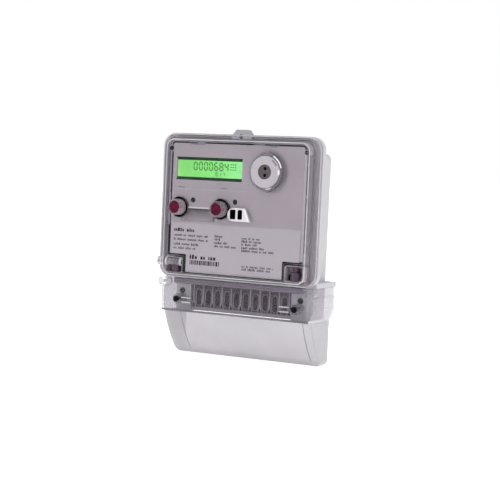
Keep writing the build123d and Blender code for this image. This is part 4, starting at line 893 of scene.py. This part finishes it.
def make_button(side, x):
    """Faceted clear sleeve and cut red core, standing for the plain turned ones."""
    low, high = box_in_millimetres(side + "_button_sleeve")
    z = (low.z + high.z) / 2
    front, back = low.y, high.y
    radius, bore = (high.x - low.x) / 2, 6.3
    sleeve = bmesh.new()
    profile = [(bore, back), (radius, back), (radius, front + 2.4), (radius - 0.25, front + 1.5),
               (radius - 1.0, front + 0.25), (radius - 1.35, front), (6.45, front + 0.2), (bore, front + 1.0),
               (bore, back)]
    lathe(sleeve, x, z, profile, SLEEVE_FACETS, math.pi / SLEEVE_FACETS)
    soften(add_piece(side + "_button_crystal_sleeve", sleeve, "button_clear", side + "_button",
                     replaces=(side + "_button_sleeve",)), 0.35, 2, 20)
    core = bmesh.new()
    rings = []
    stem_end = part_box(side + "_button_core")[1].y / MM
    for ring_radius, y, twist in ((2.5, stem_end, 0), (2.5, back, 0), (6.2, back, 0), (6.2, front + 1.7, 0),
                                  (5.1, front + 0.75, 0.5), (3.3, front + 0.95, 0), (1.5, front + 0.55, 0.5)):
        ring = []
        for k in range(CORE_FACETS):
            a = 2 * math.pi * (k + twist) / CORE_FACETS
            lift = 0.28 * (1 if k % 2 else -1) if 1.0 < ring_radius < 5.0 and y < front + 1.2 else 0.0
            ring.append((x + ring_radius * math.cos(a), y + lift, z + ring_radius * math.sin(a)))
        rings.append(ring)
    loft(core, rings, caps=(True, True))
    bmesh.ops.triangulate(core, faces=core.faces[:])
    add_piece(side + "_button_crystal_core", core, "button_maroon", side + "_button",
              replaces=(side + "_button_core",))


def make_collar_shadows():
    """Thick black crescents round the buttons' collars: painted shadow in the recess round each button."""
    for side, x in BUTTONS.items():
        ring = bmesh.new()
        arc_band(ring, x, BUTTON_Z, (8.75, 10.35), (-60.3, -59.5), (-165, 128), 40)
        soften(add_piece(side + "_collar_shadow", ring, "collar_black"), 0.2)


# ---- optical port and data port
PORT_HOLE_OFFSET = 3.25
DATA_WINDOWS = ((-3.5, 2.9), (5.1, 10.3))


def make_port_details():
    """Arcs of the port: painted shade on the outer lip, the step and the slots, and the bright notch with
    arcs of painted highlight on the bezel.
    """
    low, high = box_in_millimetres("optical_port_ring")
    x, z, front = (low.x + high.x) / 2, (low.z + high.z) / 2, low.y
    step = (-64.6, -64.1)
    pieces = {
        "port_outer_lip_shade": ("edge_painted_shade", [((19.0, 20.2), (-62.5, -61.7), (-88, 84))]),
        "port_shadow_step": ("edge_painted_shade", [((16.3, 18.2), step, (-62, -12)),
                                           ((16.2, 17.8), step, (68, 112))]),
        "port_slots": ("port_slot_shade", [((13.2, 14.6), (front - 0.05, front + 0.4), (26, 56))]),
        "port_notch_highlights": ("painted_highlight_white", [((14.4, 16.2), (front - 0.1, front + 1.2), (-9, 9)),
                                       ((17.0, 18.3), (-64.7, -64.1), (14, 62)),
                                       ((16.4, 17.2), step, (-86, -66))]),
    }
    for name, (material, arcs) in pieces.items():
        shape = bmesh.new()
        for radii, depths, angles in arcs:
            arc_band(shape, x, z, radii, depths, angles, 24)
        soften(add_piece(name, shape, material), 0.18)
    grooves = bmesh.new()
    for radius in (9.4, 11.9):
        arc_band(grooves, x, z, (radius, radius + 0.22), (front - 0.03, front + 0.2), (0, 359.5), 72)
    add_piece("port_rings", grooves, "groove_and_edge_highlight")
    rims = bmesh.new()
    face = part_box("optical_port_core")[0].y / MM
    profile = [(1.72, face + 0.6), (1.72, face - 0.02), (1.95, face - 0.14), (2.25, face + 0.02),
               (2.25, face + 0.6)]
    for offset in (-PORT_HOLE_OFFSET, PORT_HOLE_OFFSET):
        lathe(rims, x, z + offset, profile, 32)
    add_piece("port_hole_rims", rims, "port_core", smooth=True)


def make_data_port_details():
    """Pale sloping rib at the data port's right, lit by a painted highlight, and painted shade in the hollows
    of its windows.
    """
    front = box_in_millimetres("data_port_housing")[0].y
    rib = bmesh.new()
    prism(rib, [(11.8, 37.2), (13.6, 37.2), (18.6, 25.0), (16.2, 25.0)], front - 0.35, front + 0.5)
    soften(add_piece("data_port_rib_highlight", rib, "painted_highlight_white"), 0.25, 3)
    shades = bmesh.new()
    for x0, x1 in DATA_WINDOWS:
        cup(shades, (x0 + 0.04, x1 - 0.04, 26.64, 36.16), 1.2, front + 0.25, -53.05, 0.18)
    add_piece("data_port_shades", shades, "collar_black")


# ---- front cover edges
COVER_WINDOW = (-80.5, 80.5, -33.0, 104.5)


def make_cover_beads():
    """The front cover's edges: pale beads of painted highlight round its window's front edge and its flange,
    and dim beads of painted shade at the root of the window's wall and just inside its edge.
    """
    low, high = box_in_millimetres("front_cover")
    left, right, foot, top = COVER_WINDOW
    rows = {
        "cover_edge_highlight": ("bead_painted_highlight", 1.0, 8.0, 0.55, -62.0, -61.5),
        "cover_foot_shade": ("bead_painted_shade", -0.6, 9.6, 0.75, -53.6, -52.9),
        "cover_inner_shade": ("bead_painted_shade", 2.6, 6.4, 0.35, -61.95, -61.7),
    }
    for name, (material, inset, radius, half, front, back) in rows.items():
        shape = bmesh.new()
        bounds = (left + inset, right - inset, foot + inset, top - inset)
        bead(shape, bounds, radius, half, front, back)
        add_piece(name, shape, material, smooth=True)
    rim = bmesh.new()
    bead(rim, (low.x + 1.1, high.x - 1.1, -34.9, 108.9), 11.9, 0.5, -53.35, -52.95)
    add_piece("cover_flange_highlight", rim, "bead_painted_highlight", smooth=True)


BARREL_Y, BARREL_Z = -57.8, -19.6


def make_seal_barrel():
    """Barrel for the left seal wire: pale rings of painted highlight, a clear tube between them and a dark
    bore of painted shade.
    """
    rings = ((-86.35, -84.6), (-83.4, -81.2), (-77.0, -75.2), (-60.6, -58.6))
    parts = {
        "seal_barrel_highlight_rings": ("bead_painted_highlight", False, 3.3, 4.2, rings),
        "seal_barrel_tube": ("port_bezel_clear", False, 3.2, 3.6, ((-75.2, -60.6),)),
        "seal_barrel_bore_shade": ("edge_painted_shade", True, 1.3, 1.68, ((-86.2, -81.3),)),
    }
    for name, (material, smooth, bore, radius, stretches) in parts.items():
        shape = bmesh.new()
        for x0, x1 in stretches:
            profile = [(bore, x0), (radius, x0), (radius, x1), (bore, x1), (bore, x0)]
            tube_along_x(shape, BARREL_Y, BARREL_Z, profile)
        add_piece(name, shape, material, smooth=smooth)


# ---- terminals
TERMINAL_PITCH = 10.84
TERMINALS = [(k - 4.5) * TERMINAL_PITCH for k in range(10)]
TERMINAL_HALF_WIDTH, TERMINAL_LOW, TERMINAL_TOP = 3.75, -64.25, -47.15


def make_terminal_hood():
    """Stepped violet hood over the terminals, under the lower edge of the front cover."""
    back = -44.6
    section = [(back, -36.5), (-49.6, -36.5), (-50.2, -37.0), (-50.2, -38.6), (-49.7, -38.9), (-49.7, -39.3),
               (-50.1, -39.6), (-50.1, -41.4), (-49.5, -41.9), (-47.0, -41.9), (-46.6, -42.6), (-45.0, -42.6),
               (back, -41.8)]
    hood = bmesh.new()
    ends = ((-72.5, 0.6), (-71.6, 0.0), (71.6, 0.0), (72.5, 0.6))
    loft(hood, [[(x, min(y + draw, back), z) for y, z in section] for x, draw in ends], caps=(True, True))
    soften(add_piece("terminal_hood", hood, "hood_violet"), 0.2)


def terminal_path(x, inset, radius):
    """Outline of the terminal well at x, drawn in by inset."""
    half = TERMINAL_HALF_WIDTH - inset
    return rounded_path(x - half, x + half, TERMINAL_LOW + inset, TERMINAL_TOP - inset, radius, 8)


def make_terminal_webs():
    """Pale ribs between the wells, dark triangles of painted shade at their feet, the wells' rims, their dark
    backs of painted shade, and the ledge.
    """
    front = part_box("terminal_block_face")[0].y / MM
    ribs = bmesh.new()
    foot_shades = bmesh.new()
    edges = [TERMINALS[0] - TERMINAL_PITCH / 2] + [x + TERMINAL_PITCH / 2 for x in TERMINALS]
    for x in edges:
        outline = [(x - 0.7, -43.6), (x + 0.7, -43.6), (x + 0.95, -58.5), (x + 2.6, -65.4), (x + 1.7, -65.4),
                   (x, -59.6), (x - 1.7, -65.4), (x - 2.6, -65.4), (x - 0.95, -58.5)]
        prism(ribs, outline, front - 0.9, front - 0.02)
        prism(foot_shades, [(x, -59.9), (x + 1.8, -65.2), (x - 1.8, -65.2)], front - 0.12, front - 0.02)
    soften(add_piece("terminal_ribs", ribs, "rib_violet"), 0.22)
    add_piece("terminal_foot_shades", foot_shades, "well_painted_shade")
    rims = bmesh.new()
    for x in TERMINALS:
        outer, inner = terminal_path(x, 0.0, 3.74), terminal_path(x, 0.4, 3.34)
        loft(rims, [[(px, front, pz) for px, pz in outer], [(px, front - 0.5, pz) for px, pz in inner],
                    [(px, front + 2.0, pz) for px, pz in inner]])
    add_piece("terminal_well_rims", rims, "rib_violet", smooth=True)
    backs = bmesh.new()
    for x in TERMINALS:
        prism(backs, terminal_path(x, 0.3, 3.4), -34.9, -34.7)
    add_piece("terminal_well_shades", backs, "well_painted_shade")
    ledge = bmesh.new()
    section = [(front, -65.3), (front - 1.6, -65.5), (front - 2.0, -66.0), (front - 2.0, -68.4),
               (front - 1.4, -69.0), (front, -69.0)]
    bar_along_x(ledge, section, (-56.5, 56.5))
    soften(add_piece("terminal_ledge", ledge, "ledge_pale"), 0.25)


# ---- terminal cover
def make_cover_tubes():
    """Bright strips of painted highlight inside the cover's two cross tubes, and a dark line of painted shade
    under its band's ledge.
    """
    strips = bmesh.new()
    for side in (-1, 1):
        x0, x1 = mirrored(side, 50.0, 61.0)
        profile = [(0.25, x0), (0.62, x0 + 0.5), (0.62, x1 - 0.5), (0.25, x1)]
        for z in (-56.0, -60.6):
            tube_along_x(strips, -53.2, z, profile, 12, (True, True))
    add_piece("cover_tube_glints", strips, "painted_highlight_white", "terminal_cover",
              smooth=True)
    line = bmesh.new()
    section = [(-53.85, -68.3), (-54.1, -68.6), (-54.1, -69.9), (-53.85, -70.2), (-53.4, -70.15),
               (-53.4, -68.35)]
    bar_along_x(line, section, (-82.5, -40.0, 40.0, 82.5))
    add_piece("cover_ledge_shadow", line, "ledge_painted_shade", "terminal_cover")


FIXING_HOLES, FIXING_Z = (-67.1, 67.1), -50.0


def make_fixing_hole_shades():
    """Dark sleeves of painted shade in the two fixing holes, and collars round their mouths."""
    sleeves = bmesh.new()
    front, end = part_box("terminal_tray")[0].y / MM, -0.6
    profile = [(2.5, front + 0.02), (2.5, end), (2.2, end), (2.2, front - 0.3), (3.1, front - 0.3),
               (3.1, front - 0.02), (2.5, front - 0.02), (2.5, front + 0.02)]
    for x in FIXING_HOLES:
        lathe(sleeves, x, FIXING_Z, profile, 36)
    add_piece("fixing_hole_shades", sleeves, "gasket_rubber")


# Three points (y, z) of the arc that the skirt's sloping front follows
SKIRT_ARC = ((-49.6, -67.1), (-38.0, -92.0), (-18.9, -117.0))


def skirt_face(z):
    """Depth of the skirt's sloping front at a height, on the circle through the arc's points."""
    (y1, z1), (y2, z2), (y3, z3) = SKIRT_ARC
    area = 2 * (y1 * (z2 - z3) + y2 * (z3 - z1) + y3 * (z1 - z2))
    square1, square2, square3 = y1 * y1 + z1 * z1, y2 * y2 + z2 * z2, y3 * y3 + z3 * z3
    centre_y = (square1 * (z2 - z3) + square2 * (z3 - z1) + square3 * (z1 - z2)) / area
    centre_z = (square1 * (y3 - y2) + square2 * (y1 - y3) + square3 * (y2 - y1)) / area
    radius = math.hypot(y1 - centre_y, z1 - centre_z)
    reach = math.sqrt(max(radius ** 2 - (z - centre_z) ** 2, 0.0))
    return centre_y - reach if y2 < centre_y else centre_y + reach


def make_skirt_creases():
    """Faint moulded creases down the skirt's front, one near each side."""
    creases = bmesh.new()
    top, length, steps = -71.0, 40.5, 24
    for x in (-64.0, 74.0):
        rings = []
        for step in range(steps + 1):
            z = top - length * step / steps
            y = skirt_face(z)
            taper = 0.12 + 0.2 * math.sin(math.pi * step / steps)
            rings.append([(x - 0.35, y + 0.02, z), (x - 0.12, y - taper, z), (x + 0.12, y - taper, z),
                          (x + 0.35, y + 0.02, z)])
        loft(creases, rings, caps=(True, True))
    # The creases' dim tint is painted shade
    add_piece("skirt_creases", creases, "bead_painted_shade", "terminal_cover", smooth=True)


make_materials()
make_stage()
dress_cad_nodes()
make_display()
make_print()
make_pulse_shades()
make_scoop()
make_cover_clips()
make_well_details()
for side, x in BUTTONS.items():
    make_button(side, x)
make_collar_shadows()
make_port_details()
make_data_port_details()
make_panel_edges()
make_cover_beads()
make_seal_barrel()
make_fixing_hole_shades()
make_terminal_hood()
make_terminal_webs()
make_cover_tubes()
make_skirt_creases()
